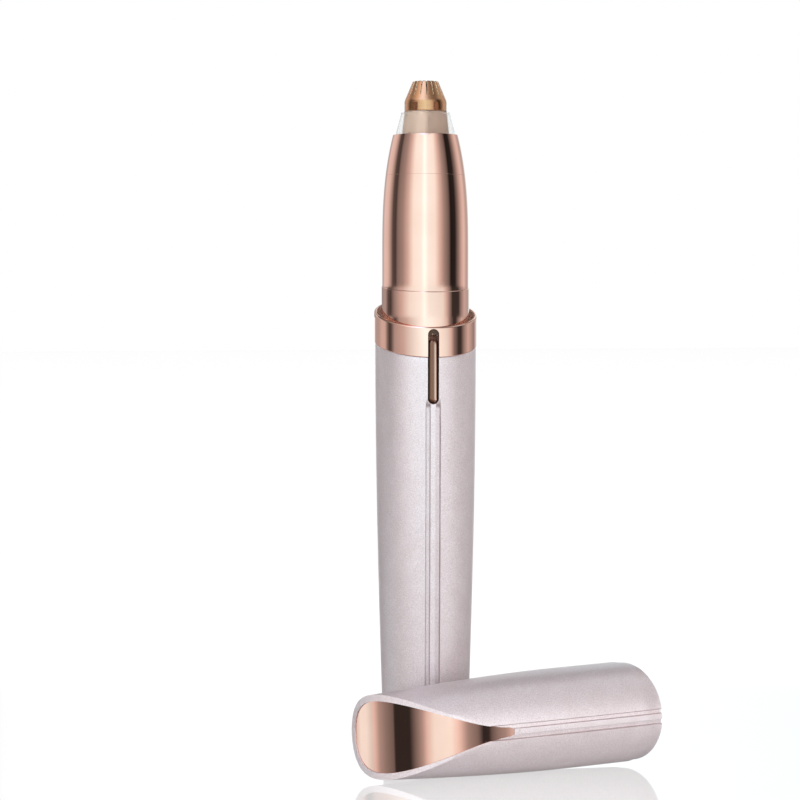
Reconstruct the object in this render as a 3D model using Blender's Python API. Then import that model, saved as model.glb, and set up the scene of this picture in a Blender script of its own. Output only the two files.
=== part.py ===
"""An eyebrow and face trimmer, open and standing on its foot, with its cap lying beside it.

Metres, +Z up. The origin is the middle of the foot. The trimmer is a slim turned body round the
Z axis: a hollow barrel, a drive unit that plugs into it and carries the battery, the board and the
motor, and a small rotary head on top. The front, where the switch is, is -Y in the trimmer's own
frame. The cap has a frame of its own, with its mouth at the bottom, its tip up and its front at -Y.
"""
import math

import bmesh
import bpy
from mathutils import Matrix, Vector

# Clearances and the fineness of round shapes
FIT_GAP = 0.0003
SLIDE_GAP = 0.0003
CUT_OVERRUN = 0.002
MERGE_DISTANCE = 1e-7
WELD_DISTANCE = 1e-5
LARGE_ROUND = 40
SMALL_ROUND = 20
TINY_ROUND = 12
COIL_ROUND = 10
BEVEL_STEPS = 3
ROUND_BEVEL = 0.5
SMOOTH_ANGLE = math.radians(30)
PROFILE_ROWS = 8
ARC_STEPS = 4

# How the pieces stand
TRIMMER_TURN = math.radians(-16)
CAP_ASIDE_X = 0.0323
CAP_ASIDE_Y = -0.0201
CAP_TILT = math.radians(1.9)

# Barrel
RIM_OVER_PARTITION = 0.0222
BARREL_FOOT_RADIUS = 0.00785
BARREL_TOP_RADIUS = 0.00950
BARREL_WALL = 0.0010
BARREL_FLOOR = 0.0015
FOOT_EDGE_RADIUS = 0.0016
COLLAR_SLOPE = 0.28
SLOPE_FADE_POWER = 6

# Front groove with its middle rib, the same on the barrel and on the cap
GROOVE_WIDTH = 0.0025
GROOVE_DEPTH = 0.0005
RIB_WIDTH = 0.0010

# Collar cup between the barrel and the neck
COLLAR_HEIGHT = 0.0056
COLLAR_RADIUS = 0.0097
COLLAR_RIM_WALL = 0.00045
COLLAR_RECESS = 0.0017

# Neck ring, neck sleeve and nose cone
NECK_RADIUS = 0.00818
NECK_RING_HEIGHT = 0.0062
NECK_RING_SLOPE = 0.12
NECK_BEND_LENGTH = 0.0147
NECK_OVER_CHASSIS = 0.0052
NECK_WALL = 0.00075
NOSE_HEIGHT = 0.0076
NOSE_TOP_RADIUS = 0.00615
NOSE_BEND_POWER = 2.8
NOSE_LEDGE = 0.0010

# Clear light window round the head's base
WINDOW_HEIGHT = 0.0039
WINDOW_FOOT_RADIUS = 0.00565
WINDOW_TOP_RADIUS = 0.0045
WINDOW_SKIRT = 0.0007

# Head
GUARD_RADIUS = 0.0040
GUARD_TOP_RADIUS = 0.0024
GUARD_SKIRT = 0.0018
GUARD_HEIGHT = 0.0056
GUARD_WALL = 0.0005
GUARD_EDGE = 0.00025
SLIT_COUNT = 18
SLIT_WIDTH = 0.00025
SLIT_DROP = 0.0019
SLIT_INNER_RADIUS = 0.0011
NOTCH_COUNT = 6
NOTCH_WIDTH = 0.0011
NOTCH_HEIGHT = 0.0014
NOTCH_DEPTH = 0.00025
BASE_FOOT_RADIUS = 0.00445
BASE_STEM_RADIUS = 0.0026
BASE_STEM_LENGTH = 0.0045
BASE_BORE_RADIUS = 0.0016
BASE_PLUG_HEIGHT = 0.0008
BEARING_RADIUS = 0.0023
BEARING_HEIGHT = 0.0018

# Cutter
SPINDLE_RADIUS = 0.0010
TONGUE_THICKNESS = 0.0008
TONGUE_WIDTH = 0.0032
CUTTER_SPRING_RADIUS = 0.0019
CUTTER_SPRING_WIRE = 0.00025
CUTTER_SPRING_HEIGHT = 0.0012
CUTTER_SPRING_TURNS = 2
HUB_RADIUS = 0.0022
HUB_HEIGHT = 0.0009
BLADE_COUNT = 3
BLADE_THICKNESS = 0.0003
BLADE_HUB_RADIUS = 0.0006
BLADE_HEIGHT = 0.0010

# Chassis, which holds the battery, the board and the motor
CHASSIS_RADIUS = 0.0065
CHASSIS_BORE_RADIUS = 0.00555
CHASSIS_END_WALL = 0.0010
CHASSIS_NOSE_HOLE_RADIUS = 0.0020
SPIGOT_CLEARANCE = 0.0005
SPIGOT_BORE_RADIUS = 0.0062
SPIGOT_LENGTH = 0.0199
SPIGOT_CHAMFER = 0.0012
SCREW_BOSS_RADIUS = 0.0023
SCREW_SHANK_RADIUS = 0.0008
SCREW_HEAD_RADIUS = 0.0014
SCREW_HEAD_HEIGHT = 0.0009
SCREW_SLOT_WIDTH = 0.0004
SCREW_SLOT_DEPTH = 0.0004
SCREW_LENGTH = 0.0090
SCREW_HEAD_SINK = 0.0008
SEAL_SECTION_RADIUS = 0.00045
SEAL_RISE = 0.0023

# Battery, an AAA cell, and its contacts
PAD_RADIUS = 0.0055
PAD_THICKNESS = 0.0020
BATTERY_RADIUS = 0.00525
BATTERY_WRAP_WALL = 0.00020
BATTERY_WRAP_GAP = 0.00010
BATTERY_LENGTH = 0.0437
BATTERY_BUTTON_RADIUS = 0.0019
BATTERY_BUTTON_HEIGHT = 0.0008
BATTERY_EDGE = 0.0005
SPRING_LENGTH = 0.0038
SPRING_WIRE = 0.0005
SPRING_FOOT_RADIUS = 0.0041
SPRING_TOP_RADIUS = 0.0023
SPRING_TURNS = 3
CONTACT_THICKNESS = 0.0004
CONTACT_WIDTH = 0.0024
CONTACT_REACH = 0.0026
CONTACT_TAIL = 0.0028
STRIP_TAB_REACH = 0.0070

# Board, slide switch and chip
BOARD_OVER_SCREW = 0.00565
BOARD_WIDTH = 0.0084
BOARD_THICKNESS = 0.0008
BOARD_FRONT_Y = -0.0022
SWITCH_BODY_WIDTH = 0.0044
SWITCH_BODY_DEPTH = 0.0024
SWITCH_BODY_LENGTH = 0.0095
CHIP_WIDTH = 0.0040
CHIP_LENGTH = 0.0048
CHIP_THICKNESS = 0.0011
CAPACITOR_RADIUS = 0.0015
CAPACITOR_HEIGHT = 0.0025

# Switch bar in its slot
SLOT_WIDTH = 0.0021
SLOT_DROP = 0.0111
SLOT_RISE = 0.0029
SLOT_DEPTH = 0.0016
SWITCH_TRAVEL = 0.0010
BAR_WIDTH = 0.0015
BAR_DEPTH = 0.0009
BAR_FACE_SINK = 0.00005
BAR_ROUNDING = 0.0006
CARRIAGE_WIDTH = 0.0012
CARRIAGE_HEIGHT = 0.0030
CARRIAGE_RISE = 0.0024
CARRIAGE_FLANGE_WIDTH = 0.0030
CARRIAGE_FLANGE_HEIGHT = 0.0044
CARRIAGE_FLANGE_THICKNESS = 0.0006
CARRIAGE_NIB_REACH = 0.0011

# Motor and drive
MOTOR_OVER_BOARD = 0.0054
MOTOR_RADIUS = 0.0045
MOTOR_LENGTH = 0.0133
MOTOR_EDGE = 0.0005
MOTOR_BOSS_RADIUS = 0.0016
MOTOR_BOSS_HEIGHT = 0.0012
MOTOR_BORE_DEPTH = 0.0060
MOTOR_CAP_RADIUS = 0.0042
MOTOR_CAP_HEIGHT = 0.0020
TERMINAL_LENGTH = 0.0015
TERMINAL_WIDTH = 0.0014
TERMINAL_THICKNESS = 0.0004
TERMINAL_SPREAD = 0.0026
GROMMET_HEIGHT = 0.0060
GROMMET_SLIT = 0.0032
SHAFT_RADIUS = 0.0005
DOG_RADIUS = 0.0024
DOG_HEIGHT = 0.0073
DOG_SLOT_DEPTH = 0.0022
DOG_FLOOR = 0.0008
WIRE_RADIUS = 0.00035
WIRE_STEPS = 9
WIRE_DROP = 0.0030
RIBBON_WIDTH = 0.0020
RIBBON_THICKNESS = 0.0002
RIBBON_RADIUS = 0.0050
RIBBON_DROP = 0.0012

# Lamp board and lamps under the window
LAMP_BOARD_RADIUS = 0.0049
LAMP_BOARD_BORE = 0.0030
LAMP_BOARD_THICKNESS = 0.0006
LAMP_COUNT = 4
LAMP_RADIUS = 0.0007
LAMP_HEIGHT = 0.0007
LAMP_RING_RADIUS = 0.0039

# Cap
CAP_TIP_DEPTH = 0.0074
CAP_TIP_RADIUS = 0.0076
CAP_MOUTH_RADIUS = 0.00935
CAP_SWELL_LENGTH = 0.0410
CAP_LIP_HEIGHT = 0.0016
CAP_LIP_SHOULDER = 0.0002
CAP_CLEARANCE = 0.00025
CAP_HEAD_CLEARANCE = 0.0006
CAP_CAVITY_CHAMFER = 0.0015
CAP_GROOVE_START = 0.0222
SCOOP_BACK = 0.0072
SCOOP_REACH = 0.0089
SCOOP_DEPTH = 0.0260
SCOOP_POWER = 2.3
SCOOP_STEPS = 14
INLAY_THICKNESS = 0.0004
INLAY_SINK = 0.0002
INLAY_MARGIN = 0.0012
INLAY_TAIL_DEPTH = 0.0250
INLAY_TAIL_WIDTH = 0.0014
INLAY_REAR_ANGLE = math.radians(14)

# Heights that follow from the sizes above, from the foot up
PAD_BOTTOM_Z = BARREL_FLOOR + FIT_GAP
CHASSIS_BOTTOM_Z = PAD_BOTTOM_Z + PAD_THICKNESS + FIT_GAP
BAY_BOTTOM_Z = CHASSIS_BOTTOM_Z + CHASSIS_END_WALL
STRIP_Z = BAY_BOTTOM_Z + FIT_GAP
SPRING_Z = STRIP_Z + CONTACT_THICKNESS + FIT_GAP
BATTERY_Z = SPRING_Z + SPRING_LENGTH + FIT_GAP
CONTACT_Z = BATTERY_Z + BATTERY_LENGTH + BATTERY_BUTTON_HEIGHT + FIT_GAP
PARTITION_Z = CONTACT_Z + CONTACT_THICKNESS + FIT_GAP
PARTITION_TOP_Z = PARTITION_Z + CHASSIS_END_WALL
BOARD_Z = PARTITION_TOP_Z + FIT_GAP
BOARD_BACK_Y = BOARD_FRONT_Y + BOARD_THICKNESS

# Rim of the barrel, the switch in its slot and what lies behind it
BARREL_HEIGHT = PARTITION_TOP_Z + RIM_OVER_PARTITION
SPIGOT_RADIUS = BARREL_TOP_RADIUS - BARREL_WALL - SPIGOT_CLEARANCE
SPIGOT_TOP_Z = BARREL_HEIGHT - FIT_GAP
SPIGOT_Z = SPIGOT_TOP_Z - SPIGOT_LENGTH
SEAL_Z = SPIGOT_Z + SEAL_RISE
SLOT_BOTTOM_Z = BARREL_HEIGHT - SLOT_DROP
SLOT_TOP_Z = BARREL_HEIGHT + SLOT_RISE
BAR_Z = SLOT_BOTTOM_Z + SLIDE_GAP
BAR_TOP_Z = SLOT_TOP_Z - SLIDE_GAP - SWITCH_TRAVEL
CARRIAGE_Z = BAR_Z + CARRIAGE_RISE
SWITCH_MIDDLE_Z = CARRIAGE_Z + (CARRIAGE_HEIGHT + SWITCH_TRAVEL) / 2
SCREW_OFFSET = SWITCH_BODY_LENGTH / 2 + FIT_GAP + SCREW_BOSS_RADIUS
LOWER_SCREW_Z = SWITCH_MIDDLE_Z - SCREW_OFFSET
UPPER_SCREW_Z = SWITCH_MIDDLE_Z + SCREW_OFFSET
STRIP_TOP_Z = LOWER_SCREW_Z - SCREW_BOSS_RADIUS - FIT_GAP
CHIP_Z = LOWER_SCREW_Z + SCREW_BOSS_RADIUS + FIT_GAP
CAPACITOR_Z = CHIP_Z + CHIP_LENGTH + FIT_GAP + CAPACITOR_RADIUS
BOARD_TOP_Z = UPPER_SCREW_Z + BOARD_OVER_SCREW

# Motor, chassis top, collar, neck and head
TERMINAL_Z = BOARD_TOP_Z + MOTOR_OVER_BOARD - MOTOR_CAP_HEIGHT - TERMINAL_LENGTH - 2 * FIT_GAP
MOTOR_CAP_Z = TERMINAL_Z + TERMINAL_LENGTH + FIT_GAP
MOTOR_Z = MOTOR_CAP_Z + MOTOR_CAP_HEIGHT + FIT_GAP
MOTOR_TOP_Z = MOTOR_Z + MOTOR_LENGTH
CHASSIS_TOP_Z = MOTOR_TOP_Z + FIT_GAP + CHASSIS_END_WALL
COLLAR_Z = BARREL_HEIGHT + FIT_GAP
COLLAR_TOP_Z = COLLAR_Z + COLLAR_HEIGHT
COLLAR_FLOOR_Z = COLLAR_TOP_Z - COLLAR_RECESS
NECK_RING_Z = COLLAR_FLOOR_Z + FIT_GAP
NECK_RING_TOP_Z = NECK_RING_Z + NECK_RING_HEIGHT
NECK_SLEEVE_Z = NECK_RING_TOP_Z + FIT_GAP
NECK_TOP_Z = CHASSIS_TOP_Z + NECK_OVER_CHASSIS
NECK_BEND_Z = NECK_TOP_Z - NECK_BEND_LENGTH
NOSE_Z = NECK_TOP_Z + FIT_GAP
NOSE_TOP_Z = NECK_TOP_Z + NOSE_HEIGHT
WINDOW_Z = NOSE_TOP_Z + FIT_GAP
WINDOW_TOP_Z = WINDOW_Z + WINDOW_HEIGHT
LAMP_BOARD_Z = WINDOW_Z - WINDOW_SKIRT - FIT_GAP - LAMP_HEIGHT - FIT_GAP - LAMP_BOARD_THICKNESS
GUARD_Z = WINDOW_TOP_Z + FIT_GAP
GUARD_TOP_Z = GUARD_Z + GUARD_HEIGHT

# Drive and cutter
DOG_Z = MOTOR_TOP_Z + MOTOR_BOSS_HEIGHT + FIT_GAP
DOG_TOP_Z = DOG_Z + DOG_HEIGHT
DOG_SLOT_Z = DOG_TOP_Z - DOG_SLOT_DEPTH
DOG_BORE_TOP_Z = DOG_SLOT_Z - DOG_FLOOR
BASE_PLUG_TOP_Z = GUARD_Z + BASE_PLUG_HEIGHT
BASE_STEM_Z = WINDOW_Z - BASE_STEM_LENGTH
CUTTER_SPRING_Z = BASE_PLUG_TOP_Z + FIT_GAP
HUB_Z = CUTTER_SPRING_Z + CUTTER_SPRING_HEIGHT + FIT_GAP
BLADE_Z = HUB_Z + HUB_HEIGHT + FIT_GAP

# Cap, which is as long as what stands above the collar's floor and its own solid tip
CAP_MOUTH_Z = COLLAR_FLOOR_Z + FIT_GAP
CAP_CAVITY_HEIGHT = GUARD_TOP_Z + CAP_HEAD_CLEARANCE - CAP_MOUTH_Z
CAP_LENGTH = CAP_CAVITY_HEIGHT + CAP_TIP_DEPTH


def swell(share):
    """Nought at the slim end, one at the full end, level where it is full."""
    return math.sin(math.pi / 2 * min(max(share, 0), 1))


def barrel_radius(z):
    """Outer radius of the barrel at a height."""
    return BARREL_FOOT_RADIUS + (BARREL_TOP_RADIUS - BARREL_FOOT_RADIUS) * swell(z / BARREL_HEIGHT)


def neck_radius(z):
    """Outer radius of the neck and of the nose cone at a height."""
    share = max(z - NECK_BEND_Z, 0) / (NOSE_TOP_Z - NECK_BEND_Z)
    return NECK_RADIUS - (NECK_RADIUS - NOSE_TOP_RADIUS) * share ** NOSE_BEND_POWER


def window_bore(z):
    """Radius of the window's bore, which the head's base fills."""
    return base_radius(z) + FIT_GAP / 2


def base_radius(z):
    """Outer radius of the head's base inside the window."""
    share = (z - WINDOW_Z) / (WINDOW_TOP_Z - WINDOW_Z)
    return BASE_FOOT_RADIUS + (GUARD_RADIUS - BASE_FOOT_RADIUS) * share


def guard_inner_radius(z):
    """Inner radius of the head guard's cone at a height."""
    cone_z = GUARD_Z + GUARD_SKIRT
    share = (z - cone_z) / (GUARD_TOP_Z - cone_z)
    return GUARD_RADIUS - GUARD_WALL + (GUARD_TOP_RADIUS - GUARD_RADIUS) * max(share, 0)


def cap_radius(height):
    """Outer radius of the cap at a height above its mouth."""
    share = (CAP_LENGTH - height) / CAP_SWELL_LENGTH
    return CAP_TIP_RADIUS + (CAP_MOUTH_RADIUS - CAP_TIP_RADIUS) * swell(share)


def spread(start, end, count):
    """Evenly spaced values from start to end."""
    return [start + (end - start) * index / (count - 1) for index in range(count)]


def arc(centre_r, centre_z, radius, start, end, steps=ARC_STEPS):
    """Points (r, z) of an arc, angles in degrees from the outward direction."""
    angles = [math.radians(start + (end - start) * step / steps) for step in range(steps + 1)]
    return [(centre_r + radius * math.cos(a), centre_z + radius * math.sin(a)) for a in angles]


def finish_mesh(name, bm, material, parent, smooth=True):
    """Turns a bmesh into a named object with one material."""
    bmesh.ops.remove_doubles(bm, verts=bm.verts, dist=MERGE_DISTANCE)
    bmesh.ops.recalc_face_normals(bm, faces=bm.faces)
    mesh = bpy.data.meshes.new(name)
    bm.to_mesh(mesh)
    bm.free()
    if smooth:
        mesh.shade_smooth()
        mesh.set_sharp_from_angle(angle=SMOOTH_ANGLE)
    mesh.materials.append(material)
    thing = bpy.data.objects.new(name, mesh)
    bpy.context.scene.collection.objects.link(thing)
    thing.parent = parent
    return thing


def turned(name, profile, material, parent, segments=LARGE_ROUND):
    """A closed profile of (r, z) or (r, z, slope) turned round Z; slope tips a ring about X."""
    bm = bmesh.new()
    rings = []
    for row in profile:
        if row[0] <= 0:
            rings.append([bm.verts.new((0, 0, row[1]))] * segments)
            continue
        slope = row[2] if len(row) > 2 else 0
        ring = []
        for step in range(segments):
            angle = 2 * math.pi * step / segments
            x = row[0] * math.cos(angle)
            y = row[0] * math.sin(angle)
            ring.append(bm.verts.new((x, y, row[1] + slope * y)))
        rings.append(ring)
    for low, high in zip(rings, rings[1:] + rings[:1]):
        for step in range(segments):
            ahead = (step + 1) % segments
            corners = []
            for corner in (low[step], low[ahead], high[ahead], high[step]):
                if corner not in corners:
                    corners.append(corner)
            if len(corners) > 2:
                bm.faces.new(corners)
    return finish_mesh(name, bm, material, parent)


def rod(name, radius, low_z, high_z, material, parent, segments=SMALL_ROUND):
    """A plain round rod on the Z axis."""
    profile = [(0, low_z), (radius, low_z), (radius, high_z), (0, high_z)]
    return turned(name, profile, material, parent, segments)


def tube(name, bore, radius, low_z, high_z, material, parent, segments=SMALL_ROUND):
    """A plain tube round the Z axis."""
    profile = [(bore, low_z), (radius, low_z), (radius, high_z), (bore, high_z)]
    return turned(name, profile, material, parent, segments)


def box(name, low, high, material, parent):
    """A box between two corners."""
    bm = bmesh.new()
    bmesh.ops.create_cube(bm, size=1)
    middle = (Vector(low) + Vector(high)) / 2
    size = Vector(high) - Vector(low)
    bmesh.ops.transform(bm, matrix=Matrix.Translation(middle) @ Matrix.Diagonal((*size, 1)), verts=bm.verts)
    return finish_mesh(name, bm, material, parent, smooth=False)


def prism(name, outline, low_x, high_x, material, parent, smooth=False):
    """A closed outline of (y, z) points pushed across from low_x to high_x."""
    bm = bmesh.new()
    face = bm.faces.new([bm.verts.new((low_x, y, z)) for y, z in outline])
    pushed = bmesh.ops.extrude_face_region(bm, geom=[face])
    moved = [part for part in pushed["geom"] if isinstance(part, bmesh.types.BMVert)]
    bmesh.ops.translate(bm, vec=(high_x - low_x, 0, 0), verts=moved)
    return finish_mesh(name, bm, material, parent, smooth)


def capsule(name, width, low_z, high_z, front_y, back_y, material, parent, rounding=0):
    """A bar with round ends in the XZ plane, pushed from front_y to back_y."""
    bm = bmesh.new()
    radius = width / 2
    outline = []
    for middle_z, start in ((high_z - radius, 0), (low_z + radius, math.pi)):
        for step in range(TINY_ROUND // 2 + 1):
            angle = start + math.pi * step / (TINY_ROUND // 2)
            outline.append((radius * math.cos(angle), front_y, middle_z + radius * math.sin(angle)))
    face = bm.faces.new([bm.verts.new(point) for point in outline])
    pushed = bmesh.ops.extrude_face_region(bm, geom=[face])
    moved = [part for part in pushed["geom"] if isinstance(part, bmesh.types.BMVert)]
    bmesh.ops.translate(bm, vec=(0, back_y - front_y, 0), verts=moved)
    if rounding:
        rim = [edge for edge in bm.edges if all(abs(v.co.y - front_y) < MERGE_DISTANCE for v in edge.verts)]
        bmesh.ops.bevel(bm, geom=rim, offset=rounding, segments=BEVEL_STEPS, profile=ROUND_BEVEL,
                        affect="EDGES")
    return finish_mesh(name, bm, material, parent, smooth=bool(rounding))


def rod_along_y(name, radius, front_y, back_y, z, material, parent):
    """A round rod that lies front to back."""
    thing = rod(name, radius, 0, back_y - front_y, material, None, TINY_ROUND)
    turn = Matrix.Translation((0, front_y, z)) @ Matrix.Rotation(-math.pi / 2, 4, "X")
    thing.data.transform(turn)
    thing.parent = parent
    return thing


def coil(name, foot_radius, top_radius, wire, low_z, high_z, turns, material, parent):
    """A round wire wound upwards from low_z to high_z, both taken at the wire's outside."""
    count = COIL_ROUND * turns
    points = []
    for step in range(count + 1):
        share = step / count
        radius = foot_radius + (top_radius - foot_radius) * share
        angle = 2 * math.pi * turns * share
        z = low_z + wire / 2 + (high_z - low_z - wire) * share
        points.append((radius * math.cos(angle), radius * math.sin(angle), z))
    pitch = (high_z - low_z - wire) / turns
    print(f"{name}: least gap between turns {pitch - wire:.5f} m")
    return swept(name, points, wire / 2, 1, material, parent)


def swept(name, points, radius, fineness, material, parent):
    """A round wire through the points, with closed ends."""
    curve = bpy.data.curves.new(name, "CURVE")
    curve.dimensions = "3D"
    curve.bevel_depth = radius
    curve.bevel_resolution = fineness
    curve.use_fill_caps = True
    spline = curve.splines.new("POLY")
    spline.points.add(len(points) - 1)
    for slot, point in zip(spline.points, points):
        slot.co = (*point, 1)
    curve.materials.append(material)
    thing = bpy.data.objects.new(name, curve)
    bpy.context.scene.collection.objects.link(thing)
    thing.parent = parent
    return thing


def shape_with(target, operation, *others):
    """Cuts or joins other closed shapes with Boolean modifiers, closing hairline seams after each."""
    for other in others:
        other.hide_render = True
        other.display_type = "WIRE"
        modifier = target.modifiers.new(f"{operation.lower()} {other.name}", "BOOLEAN")
        modifier.operation = operation
        modifier.object = other
        weld = target.modifiers.new(f"weld {other.name}", "WELD")
        weld.merge_threshold = WELD_DISTANCE
    return target


def cut(target, *cutters):
    return shape_with(target, "DIFFERENCE", *cutters)


def join(target, *others):
    return shape_with(target, "UNION", *others)


def finish(name, colour, roughness, metallic=0.0, transmission=0.0):
    """A Principled material with one colour, in linear values."""
    material = bpy.data.materials.new(name)
    material.use_nodes = True
    shader = material.node_tree.nodes["Principled BSDF"]
    shader.inputs["Base Color"].default_value = (*colour, 1)
    shader.inputs["Roughness"].default_value = roughness
    shader.inputs["Metallic"].default_value = metallic
    shader.inputs["Transmission Weight"].default_value = transmission
    material.diffuse_color = (*colour, 1)
    return material


def groove_cutters(name, radius_at, low_z, high_z, parent):
    """Two channels, one on each side of the rib, that follow the outer surface on the front."""
    heights = spread(low_z, high_z, PROFILE_ROWS)
    floor = [(-(radius_at(z) - GROOVE_DEPTH), z) for z in heights]
    outside = [(-(radius_at(z) + CUT_OVERRUN), z) for z in reversed(heights)]
    cutters = []
    for side, word in ((-1, "left"), (1, "right")):
        edges = sorted((side * RIB_WIDTH / 2, side * GROOVE_WIDTH / 2))
        cutters.append(prism(f"{name}_{word}", floor + outside, *edges, CUTTER, parent))
    return cutters


def slot_cutter(name, parent):
    """The switch's slot through the barrel's wall and the collar."""
    front = -(COLLAR_RADIUS + CUT_OVERRUN)
    back = -(barrel_radius(SLOT_BOTTOM_Z) - SLOT_DEPTH)
    return capsule(name, SLOT_WIDTH, SLOT_BOTTOM_Z, SLOT_TOP_Z, front, back, CUTTER, parent)


def barrel_sleeve(parent):
    """The hollow barrel with its flat foot, slanted top, front groove and open-topped switch slot."""
    edge = FOOT_EDGE_RADIUS
    foot = arc(barrel_radius(edge) - edge, edge, edge, -90, 0)
    outside = []
    for z in spread(edge, BARREL_HEIGHT, PROFILE_ROWS + 2)[1:]:
        slope = COLLAR_SLOPE * (z / BARREL_HEIGHT) ** SLOPE_FADE_POWER
        outside.append((barrel_radius(z), z, slope))
    inside = []
    for z in spread(BARREL_HEIGHT, BARREL_FLOOR, PROFILE_ROWS):
        slope = COLLAR_SLOPE * (z / BARREL_HEIGHT) ** SLOPE_FADE_POWER
        inside.append((barrel_radius(z) - BARREL_WALL, z, slope))
    profile = [(0, 0)] + foot + outside + inside + [(0, BARREL_FLOOR)]
    sleeve = turned("barrel_sleeve", profile, PEARL, parent)
    groove_top = SLOT_BOTTOM_Z - SLIDE_GAP
    grooves = groove_cutters("barrel_groove", barrel_radius, -CUT_OVERRUN, groove_top, parent)
    return cut(sleeve, *grooves, slot_cutter("barrel_slot", parent))


def collar_cup(parent):
    """The slanted gold collar: a thin rim round a recess that the cap's lip drops into."""
    bore = CHASSIS_RADIUS + FIT_GAP
    rim = COLLAR_RADIUS - COLLAR_RIM_WALL
    profile = [(bore, COLLAR_Z, COLLAR_SLOPE), (COLLAR_RADIUS, COLLAR_Z, COLLAR_SLOPE),
               (COLLAR_RADIUS, COLLAR_TOP_Z, COLLAR_SLOPE), (rim, COLLAR_TOP_Z, COLLAR_SLOPE),
               (rim, COLLAR_FLOOR_Z, COLLAR_SLOPE), (bore, COLLAR_FLOOR_Z, COLLAR_SLOPE)]
    return cut(turned("collar_cup", profile, ROSE_GOLD, parent), slot_cutter("collar_slot", parent))


def neck_ring(parent):
    """The ring between the collar and the neck sleeve, with its top cut at a slight slant."""
    bore = CHASSIS_RADIUS + FIT_GAP
    profile = [(bore, NECK_RING_Z, COLLAR_SLOPE), (NECK_RADIUS, NECK_RING_Z, COLLAR_SLOPE),
               (NECK_RADIUS, NECK_RING_TOP_Z, NECK_RING_SLOPE), (bore, NECK_RING_TOP_Z, NECK_RING_SLOPE)]
    return turned("neck_ring", profile, ROSE_GOLD, parent)


def neck_sleeve(parent):
    """The mirror-bright sleeve over the motor, bending in towards the nose."""
    heights = [NECK_SLEEVE_Z] + spread(NECK_BEND_Z, NECK_TOP_Z, PROFILE_ROWS - 2)
    slopes = [NECK_RING_SLOPE] + [0] * (len(heights) - 1)
    outside = [(neck_radius(z), z, slope) for z, slope in zip(heights, slopes)]
    inside = [(neck_radius(z) - NECK_WALL, z, slope) for z, slope in zip(heights, slopes)]
    return turned("neck_sleeve", outside + inside[::-1], ROSE_GOLD, parent)


def nose_cone(parent):
    """The cone above the neck sleeve, with a ledge inside that carries the lamp board."""
    ledge_z = LAMP_BOARD_Z - FIT_GAP
    heights = spread(NOSE_Z, NOSE_TOP_Z, PROFILE_ROWS - 3)
    outside = [(neck_radius(z), z) for z in heights]
    room = LAMP_BOARD_RADIUS + FIT_GAP
    ledge_bore = LAMP_BOARD_RADIUS - FIT_GAP
    inside = [(min(room, NOSE_TOP_RADIUS - FIT_GAP), NOSE_TOP_Z), (room, ledge_z), (ledge_bore, ledge_z),
              (ledge_bore, ledge_z - NOSE_LEDGE), (neck_radius(NOSE_Z) - NECK_WALL, NOSE_Z)]
    return turned("nose_cone", outside + inside, ROSE_GOLD, parent)


def light_window(parent):
    """The clear ring of the head, which sits in the nose and lets the lamps shine out."""
    skirt = LAMP_BOARD_RADIUS
    skirt_z = WINDOW_Z - WINDOW_SKIRT
    profile = [(window_bore(WINDOW_Z), skirt_z), (skirt, skirt_z), (skirt, WINDOW_Z),
               (WINDOW_FOOT_RADIUS, WINDOW_Z), (WINDOW_TOP_RADIUS, WINDOW_TOP_Z),
               (window_bore(WINDOW_TOP_Z), WINDOW_TOP_Z), (window_bore(WINDOW_Z), WINDOW_Z)]
    return turned("light_window", profile, CLEAR, parent)


def spigot_seal(parent):
    """The rubber ring round the spigot that grips the barrel and holds the chassis halves together."""
    middle = SPIGOT_RADIUS + FIT_GAP / 2 - SEAL_SECTION_RADIUS
    section = arc(middle, SEAL_Z, SEAL_SECTION_RADIUS, 0, 360, TINY_ROUND // 2)[:-1]
    return turned("spigot_seal", section, RUBBER, parent, SMALL_ROUND)


def chassis_blank(name, low_z, parent):
    """The chassis before it is split: a slim tube that widens to the spigot under the collar."""
    wide_z = SPIGOT_Z + SPIGOT_CHAMFER
    groove = SEAL_SECTION_RADIUS + FIT_GAP
    groove_floor = SPIGOT_RADIUS + FIT_GAP / 2 - 2 * SEAL_SECTION_RADIUS - FIT_GAP
    profile = [(0, low_z), (CHASSIS_RADIUS, low_z), (CHASSIS_RADIUS, SPIGOT_Z), (SPIGOT_RADIUS, wide_z),
               (SPIGOT_RADIUS, SEAL_Z - groove), (groove_floor, SEAL_Z - groove),
               (groove_floor, SEAL_Z + groove), (SPIGOT_RADIUS, SEAL_Z + groove),
               (SPIGOT_RADIUS, SPIGOT_TOP_Z, COLLAR_SLOPE), (CHASSIS_RADIUS, SPIGOT_TOP_Z, COLLAR_SLOPE),
               (CHASSIS_RADIUS, CHASSIS_TOP_Z), (0, CHASSIS_TOP_Z)]
    blank = turned(name, profile, WHITE_PLASTIC, parent, SMALL_ROUND)
    inner_top = CHASSIS_TOP_Z - CHASSIS_END_WALL
    spigot_end = SPIGOT_TOP_Z - COLLAR_SLOPE * SPIGOT_RADIUS - SPIGOT_CHAMFER
    chamber = [(0, PARTITION_TOP_Z), (CHASSIS_BORE_RADIUS, PARTITION_TOP_Z),
               (CHASSIS_BORE_RADIUS, SPIGOT_Z),
               (SPIGOT_BORE_RADIUS, wide_z), (SPIGOT_BORE_RADIUS, spigot_end),
               (CHASSIS_BORE_RADIUS, spigot_end + SPIGOT_CHAMFER), (CHASSIS_BORE_RADIUS, inner_top),
               (0, inner_top)]
    hollow = turned(f"{name}_chamber", chamber, CUTTER, parent, SMALL_ROUND)
    nose_hole = rod(f"{name}_nose_hole", CHASSIS_NOSE_HOLE_RADIUS, inner_top - CUT_OVERRUN,
                    CHASSIS_TOP_Z + CUT_OVERRUN, CUTTER, parent)
    return cut(blank, hollow, nose_hole)


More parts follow.
